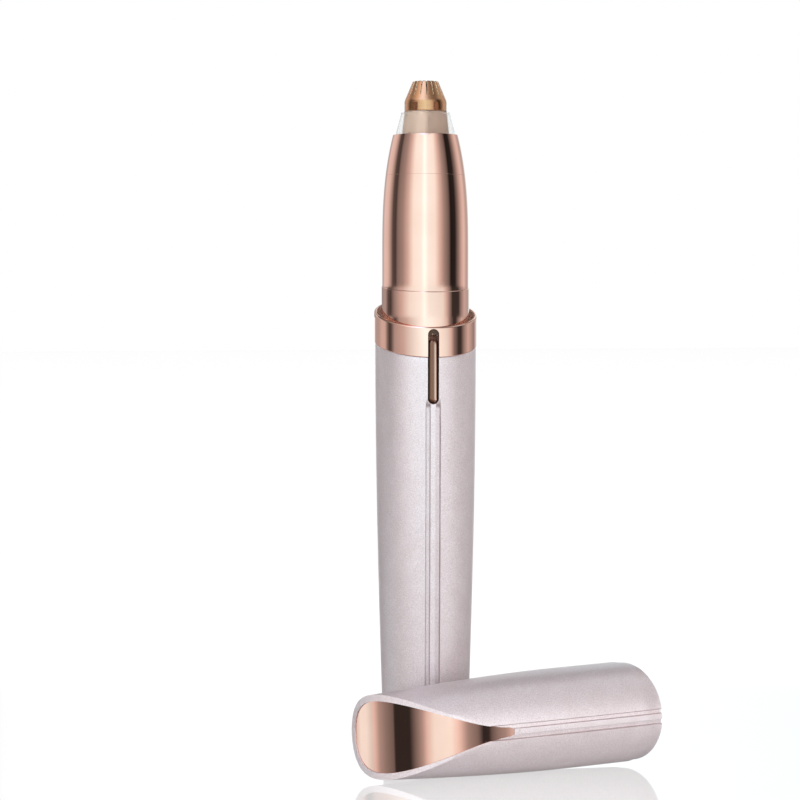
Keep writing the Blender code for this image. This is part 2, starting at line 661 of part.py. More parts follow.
def chassis_front(parent):
    """The front half above the battery, with the switch's window and the screws' seats."""
    cover = chassis_blank("chassis_front", PARTITION_TOP_Z + FIT_GAP, parent)
    wide = SPIGOT_RADIUS + CUT_OVERRUN
    rear_half = box("front_split", (-wide, -FIT_GAP / 2, BAY_BOTTOM_Z),
                    (wide, wide, CHASSIS_TOP_Z + CUT_OVERRUN), CUTTER, parent)
    cut(cover, rear_half)
    for word, z in (("lower", LOWER_SCREW_Z), ("upper", UPPER_SCREW_Z)):
        seat_y = screw_seat_y(z)
        boss = rod_along_y(f"front_boss_{word}", SCREW_BOSS_RADIUS, seat_y, BOARD_FRONT_Y - FIT_GAP, z,
                           CUTTER, parent)
        join(cover, boss)
    for word, z in (("lower", LOWER_SCREW_Z), ("upper", UPPER_SCREW_Z)):
        seat_y = screw_seat_y(z) + SCREW_HEAD_SINK + SCREW_HEAD_HEIGHT + FIT_GAP
        sink_radius = SCREW_HEAD_RADIUS + FIT_GAP
        hole_radius = SCREW_SHANK_RADIUS + FIT_GAP
        sink = rod_along_y(f"front_sink_{word}", sink_radius, -wide, seat_y, z, CUTTER, parent)
        hole = rod_along_y(f"front_hole_{word}", hole_radius, -wide, 0, z, CUTTER, parent)
        cut(cover, sink, hole)
    half = CARRIAGE_WIDTH / 2 + SLIDE_GAP
    window_top = CARRIAGE_Z + CARRIAGE_HEIGHT + SWITCH_TRAVEL + SLIDE_GAP
    window = box("switch_window", (-half, -wide, CARRIAGE_Z - SLIDE_GAP),
                 (half, BOARD_FRONT_Y - SWITCH_BODY_DEPTH, window_top), CUTTER, parent)
    return cut(cover, window)


def screw_seat_y(z):
    """Where the outside of the chassis lies, on the front, at a screw."""
    return -(CHASSIS_RADIUS if z > SPIGOT_TOP_Z - COLLAR_SLOPE * SPIGOT_RADIUS else SPIGOT_RADIUS) + FIT_GAP


def chassis_rear(parent):
    """The rear half with the battery's cradle, both end walls and the pillars for the screws."""
    frame = chassis_blank("chassis_rear", CHASSIS_BOTTOM_Z, parent)
    wide = SPIGOT_RADIUS + CUT_OVERRUN
    bay = rod("battery_bay", CHASSIS_BORE_RADIUS, BAY_BOTTOM_Z, PARTITION_Z, CUTTER, parent)
    door = box("battery_door", (-wide, -wide, BAY_BOTTOM_Z), (wide, 0, PARTITION_Z), CUTTER, parent)
    front_half = box("rear_split", (-wide, -wide, PARTITION_TOP_Z + FIT_GAP / 2),
                     (wide, FIT_GAP / 2, CHASSIS_TOP_Z + CUT_OVERRUN), CUTTER, parent)
    cut(frame, bay, door, front_half)
    for word, z in (("lower", LOWER_SCREW_Z), ("upper", UPPER_SCREW_Z)):
        join(frame, rod_along_y(f"rear_boss_{word}", SCREW_BOSS_RADIUS, BOARD_BACK_Y + FIT_GAP,
                                CHASSIS_BORE_RADIUS + FIT_GAP, z, CUTTER, parent))
    for word, z in (("lower", LOWER_SCREW_Z), ("upper", UPPER_SCREW_Z)):
        tip_y = screw_seat_y(z) + SCREW_HEAD_SINK + SCREW_LENGTH + FIT_GAP
        cut(frame, rod_along_y(f"rear_hole_{word}", SCREW_SHANK_RADIUS + FIT_GAP, BOARD_FRONT_Y, tip_y, z,
                               CUTTER, parent))
    half = CONTACT_WIDTH / 2 + FIT_GAP
    channel_y = CHASSIS_BORE_RADIUS - FIT_GAP
    channel = box("strip_channel", (-half, channel_y, BAY_BOTTOM_Z), (half, wide, STRIP_TOP_Z + FIT_GAP),
                  CUTTER, parent)
    tail_back = BOARD_BACK_Y + CONTACT_THICKNESS + 2 * FIT_GAP
    tail = box("tail_hole", (-half, BOARD_BACK_Y, PARTITION_Z - CUT_OVERRUN),
               (half, tail_back, PARTITION_TOP_Z + CUT_OVERRUN), CUTTER, parent)
    half = RIBBON_WIDTH / 2 + FIT_GAP
    notch_z = CHASSIS_TOP_Z - CHASSIS_END_WALL - CUT_OVERRUN
    notch_back = RIBBON_RADIUS + RIBBON_THICKNESS + FIT_GAP
    notch = box("ribbon_notch", (-half, RIBBON_RADIUS - FIT_GAP, notch_z),
                (half, notch_back, CHASSIS_TOP_Z + CUT_OVERRUN), CUTTER, parent)
    return cut(frame, channel, tail, notch)


def chassis_screw(word, z, parent):
    """A slotted screw from the front half, through the board, into the rear half's pillar."""
    seat_y = screw_seat_y(z) + SCREW_HEAD_SINK
    profile = [(0, 0), (SCREW_HEAD_RADIUS, 0), (SCREW_HEAD_RADIUS, SCREW_HEAD_HEIGHT),
               (SCREW_SHANK_RADIUS, SCREW_HEAD_HEIGHT), (SCREW_SHANK_RADIUS, SCREW_LENGTH),
               (0, SCREW_LENGTH)]
    screw = turned(f"chassis_screw_{word}", profile, STEEL, None, TINY_ROUND)
    screw.data.transform(Matrix.Translation((0, seat_y, z)) @ Matrix.Rotation(-math.pi / 2, 4, "X"))
    screw.parent = parent
    half = SCREW_SLOT_WIDTH / 2
    reach = SCREW_HEAD_RADIUS + FIT_GAP
    slot = box(f"screw_slot_{word}", (-reach, seat_y - CUT_OVERRUN, z - half),
               (reach, seat_y + SCREW_SLOT_DEPTH, z + half), CUTTER, parent)
    return cut(screw, slot)


def battery(parent):
    """An AAA cell: a steel can with its button, in a plain plastic wrap."""
    radius = BATTERY_RADIUS - BATTERY_WRAP_WALL - BATTERY_WRAP_GAP
    top = BATTERY_Z + BATTERY_LENGTH
    profile = [(0, BATTERY_Z), (radius - BATTERY_EDGE, BATTERY_Z), (radius, BATTERY_Z + BATTERY_EDGE),
               (radius, top - BATTERY_EDGE), (radius - BATTERY_EDGE, top), (BATTERY_BUTTON_RADIUS, top),
               (BATTERY_BUTTON_RADIUS, top + BATTERY_BUTTON_HEIGHT), (0, top + BATTERY_BUTTON_HEIGHT)]
    turned("battery_cell", profile, STEEL, parent, SMALL_ROUND)
    tube("battery_wrap", radius + BATTERY_WRAP_GAP, BATTERY_RADIUS, BATTERY_Z + BATTERY_EDGE,
         top - BATTERY_EDGE, DARK_PLASTIC, parent)


def battery_contacts(parent):
    """The coil under the cell, the plate over it, and the strip that runs up the rear of the cradle."""
    coil("contact_spring", SPRING_FOOT_RADIUS, SPRING_TOP_RADIUS, SPRING_WIRE, SPRING_Z,
         SPRING_Z + SPRING_LENGTH, SPRING_TURNS, STEEL, parent)
    half = CONTACT_WIDTH / 2
    tail_y = BOARD_BACK_Y + FIT_GAP
    reach = CONTACT_REACH
    plate_top = CONTACT_Z + CONTACT_THICKNESS
    tail_back = tail_y + CONTACT_THICKNESS
    tail_top = plate_top + CONTACT_TAIL
    upper = [(-reach, CONTACT_Z), (reach, CONTACT_Z), (reach, plate_top), (tail_back, plate_top),
             (tail_back, tail_top), (tail_y, tail_top), (tail_y, plate_top), (-reach, plate_top)]
    prism("contact_plate", upper, -half, half, STEEL, parent)
    outer = CHASSIS_RADIUS - FIT_GAP / 2
    inner = outer - CONTACT_THICKNESS
    top = STRIP_TOP_Z
    strip = [(outer - STRIP_TAB_REACH, STRIP_Z), (outer, STRIP_Z), (outer, top), (tail_y, top),
             (tail_y, top - CONTACT_THICKNESS), (inner, top - CONTACT_THICKNESS),
             (inner, STRIP_Z + CONTACT_THICKNESS), (outer - STRIP_TAB_REACH, STRIP_Z + CONTACT_THICKNESS)]
    prism("contact_strip", strip, -half, half, STEEL, parent)


def circuit_board(parent):
    """The upright board, with holes that the two screws pass through."""
    half = BOARD_WIDTH / 2
    board = box("circuit_board", (-half, BOARD_FRONT_Y, BOARD_Z), (half, BOARD_BACK_Y, BOARD_TOP_Z),
                BOARD, parent)
    for word, z in (("lower", LOWER_SCREW_Z), ("upper", UPPER_SCREW_Z)):
        cut(board, rod_along_y(f"board_hole_{word}", SCREW_SHANK_RADIUS + FIT_GAP,
                               BOARD_FRONT_Y - CUT_OVERRUN, BOARD_BACK_Y + CUT_OVERRUN, z, CUTTER, parent))
    return board


def board_parts(parent):
    """The slide switch on the board's front, and the chip and the capacitor on its back."""
    half = SWITCH_BODY_WIDTH / 2
    back = BOARD_FRONT_Y - FIT_GAP
    front = back - SWITCH_BODY_DEPTH
    body = box("slide_switch", (-half, front, SWITCH_MIDDLE_Z - SWITCH_BODY_LENGTH / 2),
               (half, back, SWITCH_MIDDLE_Z + SWITCH_BODY_LENGTH / 2), STEEL, parent)
    pocket_half = CARRIAGE_WIDTH / 2 + SLIDE_GAP
    pocket = box("slide_switch_pocket", (-pocket_half, front - CUT_OVERRUN, CARRIAGE_Z - SLIDE_GAP),
                 (pocket_half, front + CARRIAGE_NIB_REACH + SLIDE_GAP,
                  CARRIAGE_Z + CARRIAGE_HEIGHT + SWITCH_TRAVEL + SLIDE_GAP), CUTTER, parent)
    cut(body, pocket)
    chip_y = BOARD_BACK_Y + FIT_GAP
    box("driver_chip", (-CHIP_WIDTH / 2, chip_y, CHIP_Z),
        (CHIP_WIDTH / 2, chip_y + CHIP_THICKNESS, CHIP_Z + CHIP_LENGTH), BLACK_PLASTIC, parent)
    rod_along_y("capacitor", CAPACITOR_RADIUS, chip_y, chip_y + CAPACITOR_HEIGHT, CAPACITOR_Z, ALUMINIUM,
                parent)


def switch_parts(parent):
    """The gold bar in the slot and the carriage that takes its travel in to the slide switch."""
    face_y = -(barrel_radius(SLOT_BOTTOM_Z) - BAR_FACE_SINK)
    back_y = face_y + BAR_DEPTH
    capsule("switch_bar", BAR_WIDTH, BAR_Z, BAR_TOP_Z, face_y, back_y, ROSE_GOLD, parent, BAR_ROUNDING)
    half = CARRIAGE_WIDTH / 2
    switch_face = BOARD_FRONT_Y - FIT_GAP - SWITCH_BODY_DEPTH
    carriage = box("switch_carriage", (-half, back_y + FIT_GAP, CARRIAGE_Z),
                   (half, switch_face + CARRIAGE_NIB_REACH, CARRIAGE_Z + CARRIAGE_HEIGHT), BLACK_PLASTIC,
                   parent)
    flange_half = CARRIAGE_FLANGE_WIDTH / 2
    flange_back = switch_face - FIT_GAP
    flange_z = CARRIAGE_Z + (CARRIAGE_HEIGHT - CARRIAGE_FLANGE_HEIGHT) / 2
    flange = box("carriage_flange", (-flange_half, flange_back - CARRIAGE_FLANGE_THICKNESS, flange_z),
                 (flange_half, flange_back, flange_z + CARRIAGE_FLANGE_HEIGHT), CUTTER, parent)
    return join(carriage, flange)


def motor(parent):
    """The motor's can with its nose, its end cap, its two terminals and the rubber grommet round it."""
    bore = SHAFT_RADIUS + SLIDE_GAP
    profile = [(0, MOTOR_Z), (MOTOR_RADIUS, MOTOR_Z), (MOTOR_RADIUS, MOTOR_TOP_Z - MOTOR_EDGE),
               (MOTOR_RADIUS - MOTOR_EDGE, MOTOR_TOP_Z), (MOTOR_BOSS_RADIUS, MOTOR_TOP_Z),
               (MOTOR_BOSS_RADIUS, MOTOR_TOP_Z + MOTOR_BOSS_HEIGHT),
               (bore, MOTOR_TOP_Z + MOTOR_BOSS_HEIGHT), (bore, MOTOR_TOP_Z - MOTOR_BORE_DEPTH),
               (0, MOTOR_TOP_Z - MOTOR_BORE_DEPTH)]
    turned("motor_can", profile, STEEL, parent, SMALL_ROUND)
    rod("motor_end_cap", MOTOR_CAP_RADIUS, MOTOR_CAP_Z, MOTOR_CAP_Z + MOTOR_CAP_HEIGHT, DARK_PLASTIC,
        parent)
    for word, side in (("left", -1), ("right", 1)):
        x = side * TERMINAL_SPREAD
        box(f"motor_terminal_{word}", (x - TERMINAL_WIDTH / 2, -TERMINAL_THICKNESS / 2, TERMINAL_Z),
            (x + TERMINAL_WIDTH / 2, TERMINAL_THICKNESS / 2, TERMINAL_Z + TERMINAL_LENGTH), COPPER, parent)
    middle = (MOTOR_Z + MOTOR_TOP_Z) / 2
    grommet = tube("motor_grommet", MOTOR_RADIUS + FIT_GAP, CHASSIS_BORE_RADIUS - FIT_GAP,
                   middle - GROMMET_HEIGHT / 2, middle + GROMMET_HEIGHT / 2, RUBBER, parent)
    half = GROMMET_SLIT / 2
    slit = box("grommet_slit", (-half, 0, MOTOR_Z),
               (half, CHASSIS_BORE_RADIUS + CUT_OVERRUN, MOTOR_TOP_Z), CUTTER, parent)
    return cut(grommet, slit)


def motor_leads(parent):
    """Two insulated wires from the back of the board up to the motor's terminals."""
    for word, side, colour in (("red", 1, RED_PLASTIC), ("black", -1, BLACK_PLASTIC)):
        x = side * TERMINAL_SPREAD
        top_z = TERMINAL_Z - FIT_GAP
        start_y = BOARD_BACK_Y + FIT_GAP
        points = []
        for share in spread(0, 1, WIRE_STEPS):
            ease = share * share * (3 - 2 * share)
            y = start_y * (1 - math.sin(math.pi / 2 * share))
            points.append((x, y, top_z - WIRE_DROP * (1 - ease)))
        swept(f"lead_{word}", points, WIRE_RADIUS, 2, colour, parent)


def lamp_ribbon(parent):
    """The flat cable that climbs beside the motor from the board to the lamp board."""
    low_z = BOARD_TOP_Z - RIBBON_DROP
    inner = RIBBON_RADIUS
    outer = inner + RIBBON_THICKNESS
    end_y = LAMP_BOARD_RADIUS - NOSE_LEDGE
    top = LAMP_BOARD_Z - FIT_GAP
    bend_z = CHASSIS_TOP_Z + FIT_GAP
    start_y = BOARD_BACK_Y + FIT_GAP
    outline = [(start_y, low_z), (outer, low_z), (outer, bend_z), (end_y + RIBBON_THICKNESS, top),
               (end_y, top), (inner, bend_z), (inner, low_z + RIBBON_THICKNESS),
               (start_y, low_z + RIBBON_THICKNESS)]
    prism("lamp_ribbon", outline, -RIBBON_WIDTH / 2, RIBBON_WIDTH / 2, AMBER_FILM, parent)


def lamps(parent):
    """The ring-shaped lamp board and its small lamps."""
    board_top = LAMP_BOARD_Z + LAMP_BOARD_THICKNESS
    tube("lamp_board", LAMP_BOARD_BORE, LAMP_BOARD_RADIUS, LAMP_BOARD_Z, board_top, BOARD, parent)
    low = board_top + FIT_GAP
    for index in range(LAMP_COUNT):
        lamp = rod(f"lamp_{index + 1}", LAMP_RADIUS, low, low + LAMP_HEIGHT, WHITE_PLASTIC, None,
                   TINY_ROUND)
        angle = math.pi * (2 * index + 1) / LAMP_COUNT
        place = (LAMP_RING_RADIUS * math.cos(angle), LAMP_RING_RADIUS * math.sin(angle), 0)
        lamp.data.transform(Matrix.Translation(place))
        lamp.parent = parent


def rotor(parent):
    """The motor's shaft and the slotted dog on it that turns the cutter."""
    rod("motor_shaft", SHAFT_RADIUS, MOTOR_TOP_Z - MOTOR_BORE_DEPTH + FIT_GAP, DOG_BORE_TOP_Z - FIT_GAP,
        STEEL, parent, TINY_ROUND)
    bore = SHAFT_RADIUS + FIT_GAP
    profile = [(bore, DOG_Z), (DOG_RADIUS, DOG_Z), (DOG_RADIUS, DOG_TOP_Z), (0, DOG_TOP_Z),
               (0, DOG_BORE_TOP_Z), (bore, DOG_BORE_TOP_Z)]
    dog = turned("drive_dog", profile, WHITE_PLASTIC, parent, SMALL_ROUND)
    half = TONGUE_THICKNESS / 2 + SLIDE_GAP
    slot = box("dog_slot", (-DOG_RADIUS - CUT_OVERRUN, -half, DOG_SLOT_Z),
               (DOG_RADIUS + CUT_OVERRUN, half, DOG_TOP_Z + CUT_OVERRUN), CUTTER, parent)
    return cut(dog, slot)


def radial_cutters(name, count, width, inner, outer, low_z, high_z, turn, parent):
    """Boxes set round the axis like spokes, in one cutter."""
    bm = bmesh.new()
    for index in range(count):
        made = bmesh.ops.create_cube(bm, size=1)["verts"]
        place = Matrix.Rotation(turn + 2 * math.pi * index / count, 4, "Z")
        place @= Matrix.Translation(((inner + outer) / 2, 0, (low_z + high_z) / 2))
        place @= Matrix.Diagonal((outer - inner, width, high_z - low_z, 1))
        bmesh.ops.transform(bm, matrix=place, verts=made)
    return finish_mesh(name, bm, CUTTER, parent, smooth=False)


def head_guard(parent):
    """The slotted gold guard: a short skirt, then a cone to a flat top, with slits for the hairs."""
    cone_z = GUARD_Z + GUARD_SKIRT
    ceiling = GUARD_TOP_Z - GUARD_WALL
    profile = [(GUARD_RADIUS - GUARD_WALL, GUARD_Z), (GUARD_RADIUS, GUARD_Z), (GUARD_RADIUS, cone_z),
               (GUARD_TOP_RADIUS + GUARD_EDGE, GUARD_TOP_Z - GUARD_EDGE),
               (GUARD_TOP_RADIUS - GUARD_EDGE, GUARD_TOP_Z), (0, GUARD_TOP_Z), (0, ceiling),
               (guard_inner_radius(ceiling), ceiling),
               (GUARD_RADIUS - GUARD_WALL, cone_z)]
    guard = turned("head_guard", profile, DARK_GOLD, parent, 2 * SLIT_COUNT)
    beyond = GUARD_RADIUS + CUT_OVERRUN
    slits = radial_cutters("guard_slits", SLIT_COUNT, SLIT_WIDTH, SLIT_INNER_RADIUS, beyond,
                           GUARD_TOP_Z - SLIT_DROP, GUARD_TOP_Z + CUT_OVERRUN, math.pi / SLIT_COUNT / 2,
                           parent)
    notches = radial_cutters("guard_notches", NOTCH_COUNT, NOTCH_WIDTH, GUARD_RADIUS - NOTCH_DEPTH, beyond,
                             GUARD_Z - CUT_OVERRUN, GUARD_Z + NOTCH_HEIGHT, 0, parent)
    return cut(guard, slits, notches)


def head_base(parent):
    """The head's plastic base: a stem into the nose, a cone inside the window, a plug in the guard."""
    plug = GUARD_RADIUS - GUARD_WALL - FIT_GAP
    bore = BASE_BORE_RADIUS
    seat = BEARING_RADIUS + FIT_GAP
    seat_z = BASE_PLUG_TOP_Z - BEARING_HEIGHT
    profile = [(bore, BASE_STEM_Z), (BASE_STEM_RADIUS, BASE_STEM_Z), (BASE_STEM_RADIUS, WINDOW_Z),
               (BASE_FOOT_RADIUS, WINDOW_Z), (GUARD_RADIUS, WINDOW_TOP_Z), (plug, WINDOW_TOP_Z),
               (plug, BASE_PLUG_TOP_Z), (seat, BASE_PLUG_TOP_Z), (seat, seat_z), (bore, seat_z)]
    turned("head_base", profile, TAN_PLASTIC, parent, 2 * SLIT_COUNT)
    tube("head_bearing", SPINDLE_RADIUS + SLIDE_GAP, BEARING_RADIUS, seat_z + FIT_GAP, BASE_PLUG_TOP_Z,
         BRASS, parent)


def cutter(parent):
    """The spindle with its tongue, the hub, the three blades and the spring that lifts them."""
    spindle = rod("cutter_spindle", SPINDLE_RADIUS, DOG_SLOT_Z + FIT_GAP, HUB_Z + HUB_HEIGHT, STEEL, parent,
                  TINY_ROUND)
    tongue = box("spindle_tongue", (-TONGUE_WIDTH / 2, -TONGUE_THICKNESS / 2, DOG_SLOT_Z + FIT_GAP),
                 (TONGUE_WIDTH / 2, TONGUE_THICKNESS / 2, DOG_TOP_Z), CUTTER, parent)
    reach = SPINDLE_RADIUS + CUT_OVERRUN
    for word, side in (("front", -1), ("rear", 1)):
        edges = sorted((side * TONGUE_THICKNESS / 2, side * reach))
        cut(spindle, box(f"spindle_flat_{word}", (-reach, edges[0], DOG_SLOT_Z),
                         (reach, edges[1], DOG_TOP_Z), CUTTER, parent))
    join(spindle, tongue)
    tube("cutter_hub", SPINDLE_RADIUS + FIT_GAP, HUB_RADIUS, HUB_Z, HUB_Z + HUB_HEIGHT, BLACK_PLASTIC,
         parent)
    coil("cutter_spring", CUTTER_SPRING_RADIUS, CUTTER_SPRING_RADIUS, CUTTER_SPRING_WIRE, CUTTER_SPRING_Z,
         CUTTER_SPRING_Z + CUTTER_SPRING_HEIGHT, CUTTER_SPRING_TURNS, STEEL, parent)
    blades(parent)


def blades(parent):
    """Three flat blades on a small boss, sloped at their tips like the guard's cone."""
    bm = bmesh.new()
    loops = []
    for z in (BLADE_Z, BLADE_Z + BLADE_HEIGHT):
        reach = guard_inner_radius(z) - FIT_GAP
        loop = []
        for index in range(BLADE_COUNT):
            along = 2 * math.pi * index / BLADE_COUNT
            between = along + math.pi / BLADE_COUNT
            direction = Vector((math.cos(along), math.sin(along), 0))
            across = Vector((-direction.y, direction.x, 0)) * BLADE_THICKNESS / 2
            loop += [direction * reach - across, direction * reach + across]
            loop.append(Vector((math.cos(between), math.sin(between), 0)) * BLADE_HUB_RADIUS)
        loops.append([bm.verts.new(point + Vector((0, 0, z))) for point in loop])
    bm.faces.new(loops[0][::-1])
    bm.faces.new(loops[1])
    count = len(loops[0])
    for index in range(count):
        ahead = (index + 1) % count
        bm.faces.new((loops[0][index], loops[0][ahead], loops[1][ahead], loops[1][index]))
    return finish_mesh("cutter_blades", bm, STEEL, parent, smooth=False)


def scoop_point(turn):
    """Point (y, z) of the cap's scooped front; turn runs from 90 degrees at the top to 0 at the tail."""
    reach = (SCOOP_BACK + SCOOP_REACH) * abs(math.cos(turn)) ** (2 / SCOOP_POWER)
    depth = SCOOP_DEPTH * (1 - abs(math.sin(turn)) ** (2 / SCOOP_POWER))
    return Vector((SCOOP_BACK - reach, CAP_LENGTH - depth))


def scoop_turn(y):
    """The turn at which the scoop passes a place in y."""
    return math.acos(((SCOOP_BACK - y) / (SCOOP_BACK + SCOOP_REACH)) ** (SCOOP_POWER / 2))


def inlay_rows(margin, sink, thickness, extra_depth):
    """Rows (half width, outer point, inner point) of a plate that follows the scoop, rear end first."""
    path = []
    tail_z = CAP_LENGTH - INLAY_TAIL_DEPTH - extra_depth
    tail_half = (INLAY_TAIL_WIDTH + extra_depth) / 2
    rear = scoop_turn((CAP_TIP_RADIUS - margin) * math.cos(INLAY_REAR_ANGLE))
    for turn in spread(rear, 0, SCOOP_STEPS):
        point = scoop_point(turn)
        outer = cap_radius(point.y)
        if point.x > 0:
            half = math.sqrt((outer - margin) ** 2 - point.x ** 2)
        else:
            half = max(math.sqrt(max(outer ** 2 - point.x ** 2, 0)) * (1 - margin / outer), tail_half)
        if point.y <= tail_z:
            last_half, last = path[-1]
            share = (last.y - tail_z) / (last.y - point.y)
            path.append((tail_half, last.lerp(point, share)))
            break
        path.append((half, point))
    rows = []
    for index, (half, point) in enumerate(path):
        ahead = path[min(index + 1, len(path) - 1)][1]
        behind = path[max(index - 1, 0)][1]
        along = (ahead - behind).normalized()
        normal = Vector((along.y, -along.x))
        rows.append((half, point - normal * sink, point - normal * (sink + thickness)))
    return rows


def plate(name, rows, material, parent):
    """A closed plate from rows (half width, outer point, inner point), points being (y, z)."""
    bm = bmesh.new()
    loops = []
    for half, outer, inner in rows:
        corners = ((-half, outer), (half, outer), (half, inner), (-half, inner))
        loops.append([bm.verts.new((x, point.x, point.y)) for x, point in corners])
    for near, far in zip(loops, loops[1:]):
        for index in range(4):
            ahead = (index + 1) % 4
            bm.faces.new((near[index], near[ahead], far[ahead], far[index]))
    bm.faces.new(loops[0])
    bm.faces.new(loops[-1][::-1])
    return finish_mesh(name, bm, material, parent)


def cap_cavity():
    """Inner profile of the cap, mouth first: it follows the neck, the nose and the head with clearance."""
    mouth = NECK_RADIUS + CAP_CLEARANCE
    rows = [(mouth, 0, COLLAR_SLOPE), (mouth, NECK_BEND_Z - CAP_MOUTH_Z)]
    for z in spread(NECK_BEND_Z, NOSE_TOP_Z, PROFILE_ROWS - 4)[1:]:
        rows.append((neck_radius(z) + CAP_CLEARANCE, z - CAP_MOUTH_Z))
    head_radius = GUARD_RADIUS + CAP_CLEARANCE
    rows.append((head_radius, WINDOW_TOP_Z + FIT_GAP - CAP_MOUTH_Z))
    rows.append((head_radius, CAP_CAVITY_HEIGHT - CAP_CAVITY_CHAMFER))
    rows.append((head_radius - CAP_CAVITY_CHAMFER, CAP_CAVITY_HEIGHT))
    rows.append((0, CAP_CAVITY_HEIGHT))
    return rows


def cap_shell(parent):
    """The cap: a tapering tube with a lip at its slanted mouth and a scooped front at its tip."""
    lip = COLLAR_RADIUS - COLLAR_RIM_WALL - CAP_CLEARANCE / 2
    shoulder = CAP_LIP_HEIGHT + CAP_LIP_SHOULDER
    profile = [(lip, 0, COLLAR_SLOPE), (lip, CAP_LIP_HEIGHT, COLLAR_SLOPE),
               (cap_radius(shoulder), shoulder, COLLAR_SLOPE)]
    for height in spread(shoulder, CAP_LENGTH, PROFILE_ROWS + 2)[1:]:
        slope = COLLAR_SLOPE * (1 - height / CAP_LENGTH) ** SLOPE_FADE_POWER
        profile.append((cap_radius(height), height, slope))
    profile.append((0, CAP_LENGTH))
    shell = turned("cap_shell", profile + cap_cavity()[::-1], PEARL, parent)
    beyond = -(CAP_MOUTH_RADIUS + CUT_OVERRUN)
    outline = [tuple(scoop_point(turn)) for turn in spread(math.pi / 2, 0, SCOOP_STEPS)]
    above = CAP_LENGTH + CUT_OVERRUN
    outline += [(beyond, CAP_LENGTH - SCOOP_DEPTH), (beyond, above), (SCOOP_BACK, above)]
    scoop = prism("cap_scoop", outline, beyond, -beyond, CUTTER, parent)
    pocket_depth = CUT_OVERRUN + INLAY_SINK + INLAY_THICKNESS + FIT_GAP
    pocket_rows = inlay_rows(INLAY_MARGIN - FIT_GAP, -CUT_OVERRUN, pocket_depth, FIT_GAP)
    pocket = plate("inlay_pocket", pocket_rows, CUTTER, parent)
    groove_top = CAP_LENGTH - CAP_GROOVE_START
    grooves = groove_cutters("cap_groove", cap_radius, -CAP_MOUTH_RADIUS, groove_top, parent)
    return cut(shell, *grooves, scoop, pocket)


def cap_inlay(parent):
    """The gold plate let into the scoop."""
    return plate("cap_inlay", inlay_rows(INLAY_MARGIN, INLAY_SINK, INLAY_THICKNESS, 0), ROSE_GOLD, parent)


def empty(name, location, rotation, parent=None):
    """A named frame that pieces hang on."""
    frame = bpy.data.objects.new(name, None)
    bpy.context.scene.collection.objects.link(frame)
    frame.location = location
    frame.rotation_euler = rotation
    frame.parent = parent
    return frame


def cap_rest_height():
    """Height of the mouth's middle when the cap lies tilted on its side."""
    heights = spread(0, CAP_LENGTH, 4 * PROFILE_ROWS)
    return max(cap_radius(h) * math.cos(CAP_TILT) + h * math.sin(CAP_TILT) for h in heights)


def build():
    """Makes every piece."""
    handle = empty("trimmer_frame", (0, 0, 0), (0, 0, TRIMMER_TURN))
    barrel_sleeve(handle)
    rod("battery_pad", PAD_RADIUS, PAD_BOTTOM_Z, PAD_BOTTOM_Z + PAD_THICKNESS, FOAM, handle)
    drive = empty("drive_unit_frame", (0, 0, 0), (0, 0, 0), handle)
    for make in (collar_cup, neck_ring, neck_sleeve, nose_cone, spigot_seal, chassis_front, chassis_rear,
                 battery, battery_contacts, circuit_board, board_parts, motor, motor_leads, lamp_ribbon,
                 lamps):
        make(drive)
    chassis_screw("lower", LOWER_SCREW_Z, drive)
    chassis_screw("upper", UPPER_SCREW_Z, drive)
    rotor(empty("rotor_axis", (0, 0, 0), (0, 0, 0), drive))
    switch_parts(empty("switch_frame", (0, 0, 0), (0, 0, 0), drive))
    head = empty("head_frame", (0, 0, 0), (0, 0, 0), drive)
    light_window(head)
    head_guard(head)
    head_base(head)
    cutter(empty("cutter_axis", (0, 0, 0), (0, 0, 0), head))
    cap = empty("cap_frame", (CAP_ASIDE_X, CAP_ASIDE_Y, cap_rest_height()),
                (0, -(math.pi / 2 + CAP_TILT), 0))
    cap_shell(cap)
    cap_inlay(cap)


for old in list(bpy.data.objects):
    bpy.data.objects.remove(old, do_unlink=True)

PEARL = finish("satin_pearl_paint", (0.62, 0.53, 0.54), 0.35, 0.3)
ROSE_GOLD = finish("rose_gold_plating", (0.74, 0.40, 0.28), 0.12, 1.0)
DARK_GOLD = finish("head_gold_plating", (0.45, 0.20, 0.06), 0.25, 1.0)
CLEAR = finish("clear_acrylic", (0.90, 0.93, 0.96), 0.05, 0.0, 0.9)
TAN_PLASTIC = finish("tan_plastic", (0.60, 0.46, 0.34), 0.45)
WHITE_PLASTIC = finish("white_plastic", (0.80, 0.80, 0.78), 0.45)
BLACK_PLASTIC = finish("black_plastic", (0.02, 0.02, 0.02), 0.45)
DARK_PLASTIC = finish("dark_grey_plastic", (0.06, 0.06, 0.07), 0.40)
RED_PLASTIC = finish("red_insulation", (0.55, 0.02, 0.02), 0.40)
RUBBER = finish("black_rubber", (0.03, 0.03, 0.03), 0.70)
FOAM = finish("grey_foam", (0.25, 0.25, 0.26), 0.90)
STEEL = finish("nickel_plated_steel", (0.55, 0.54, 0.52), 0.25, 1.0)
ALUMINIUM = finish("aluminium", (0.75, 0.76, 0.77), 0.30, 1.0)
BRASS = finish("brass", (0.70, 0.48, 0.18), 0.30, 1.0)
COPPER = finish("tinned_copper", (0.75, 0.45, 0.33), 0.30, 1.0)
BOARD = finish("green_board", (0.03, 0.16, 0.07), 0.50)
AMBER_FILM = finish("amber_film", (0.55, 0.26, 0.05), 0.35)
CUTTER = finish("cutter_shape", (0.8, 0.1, 0.8), 0.50)

build()
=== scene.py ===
# %% [markdown]
# # A slim eyebrow and face trimmer, open, with its cap lying beside it
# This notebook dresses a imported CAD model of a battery-driven trimmer. The CAD already has every piece
# in its true size and place, so each cell below either gives a CAD piece a better finish or makes a
# finer piece of the same size that stands in front of it. Lengths are in metres, +Z is up, and the
# middle of the trimmer's foot is the origin.

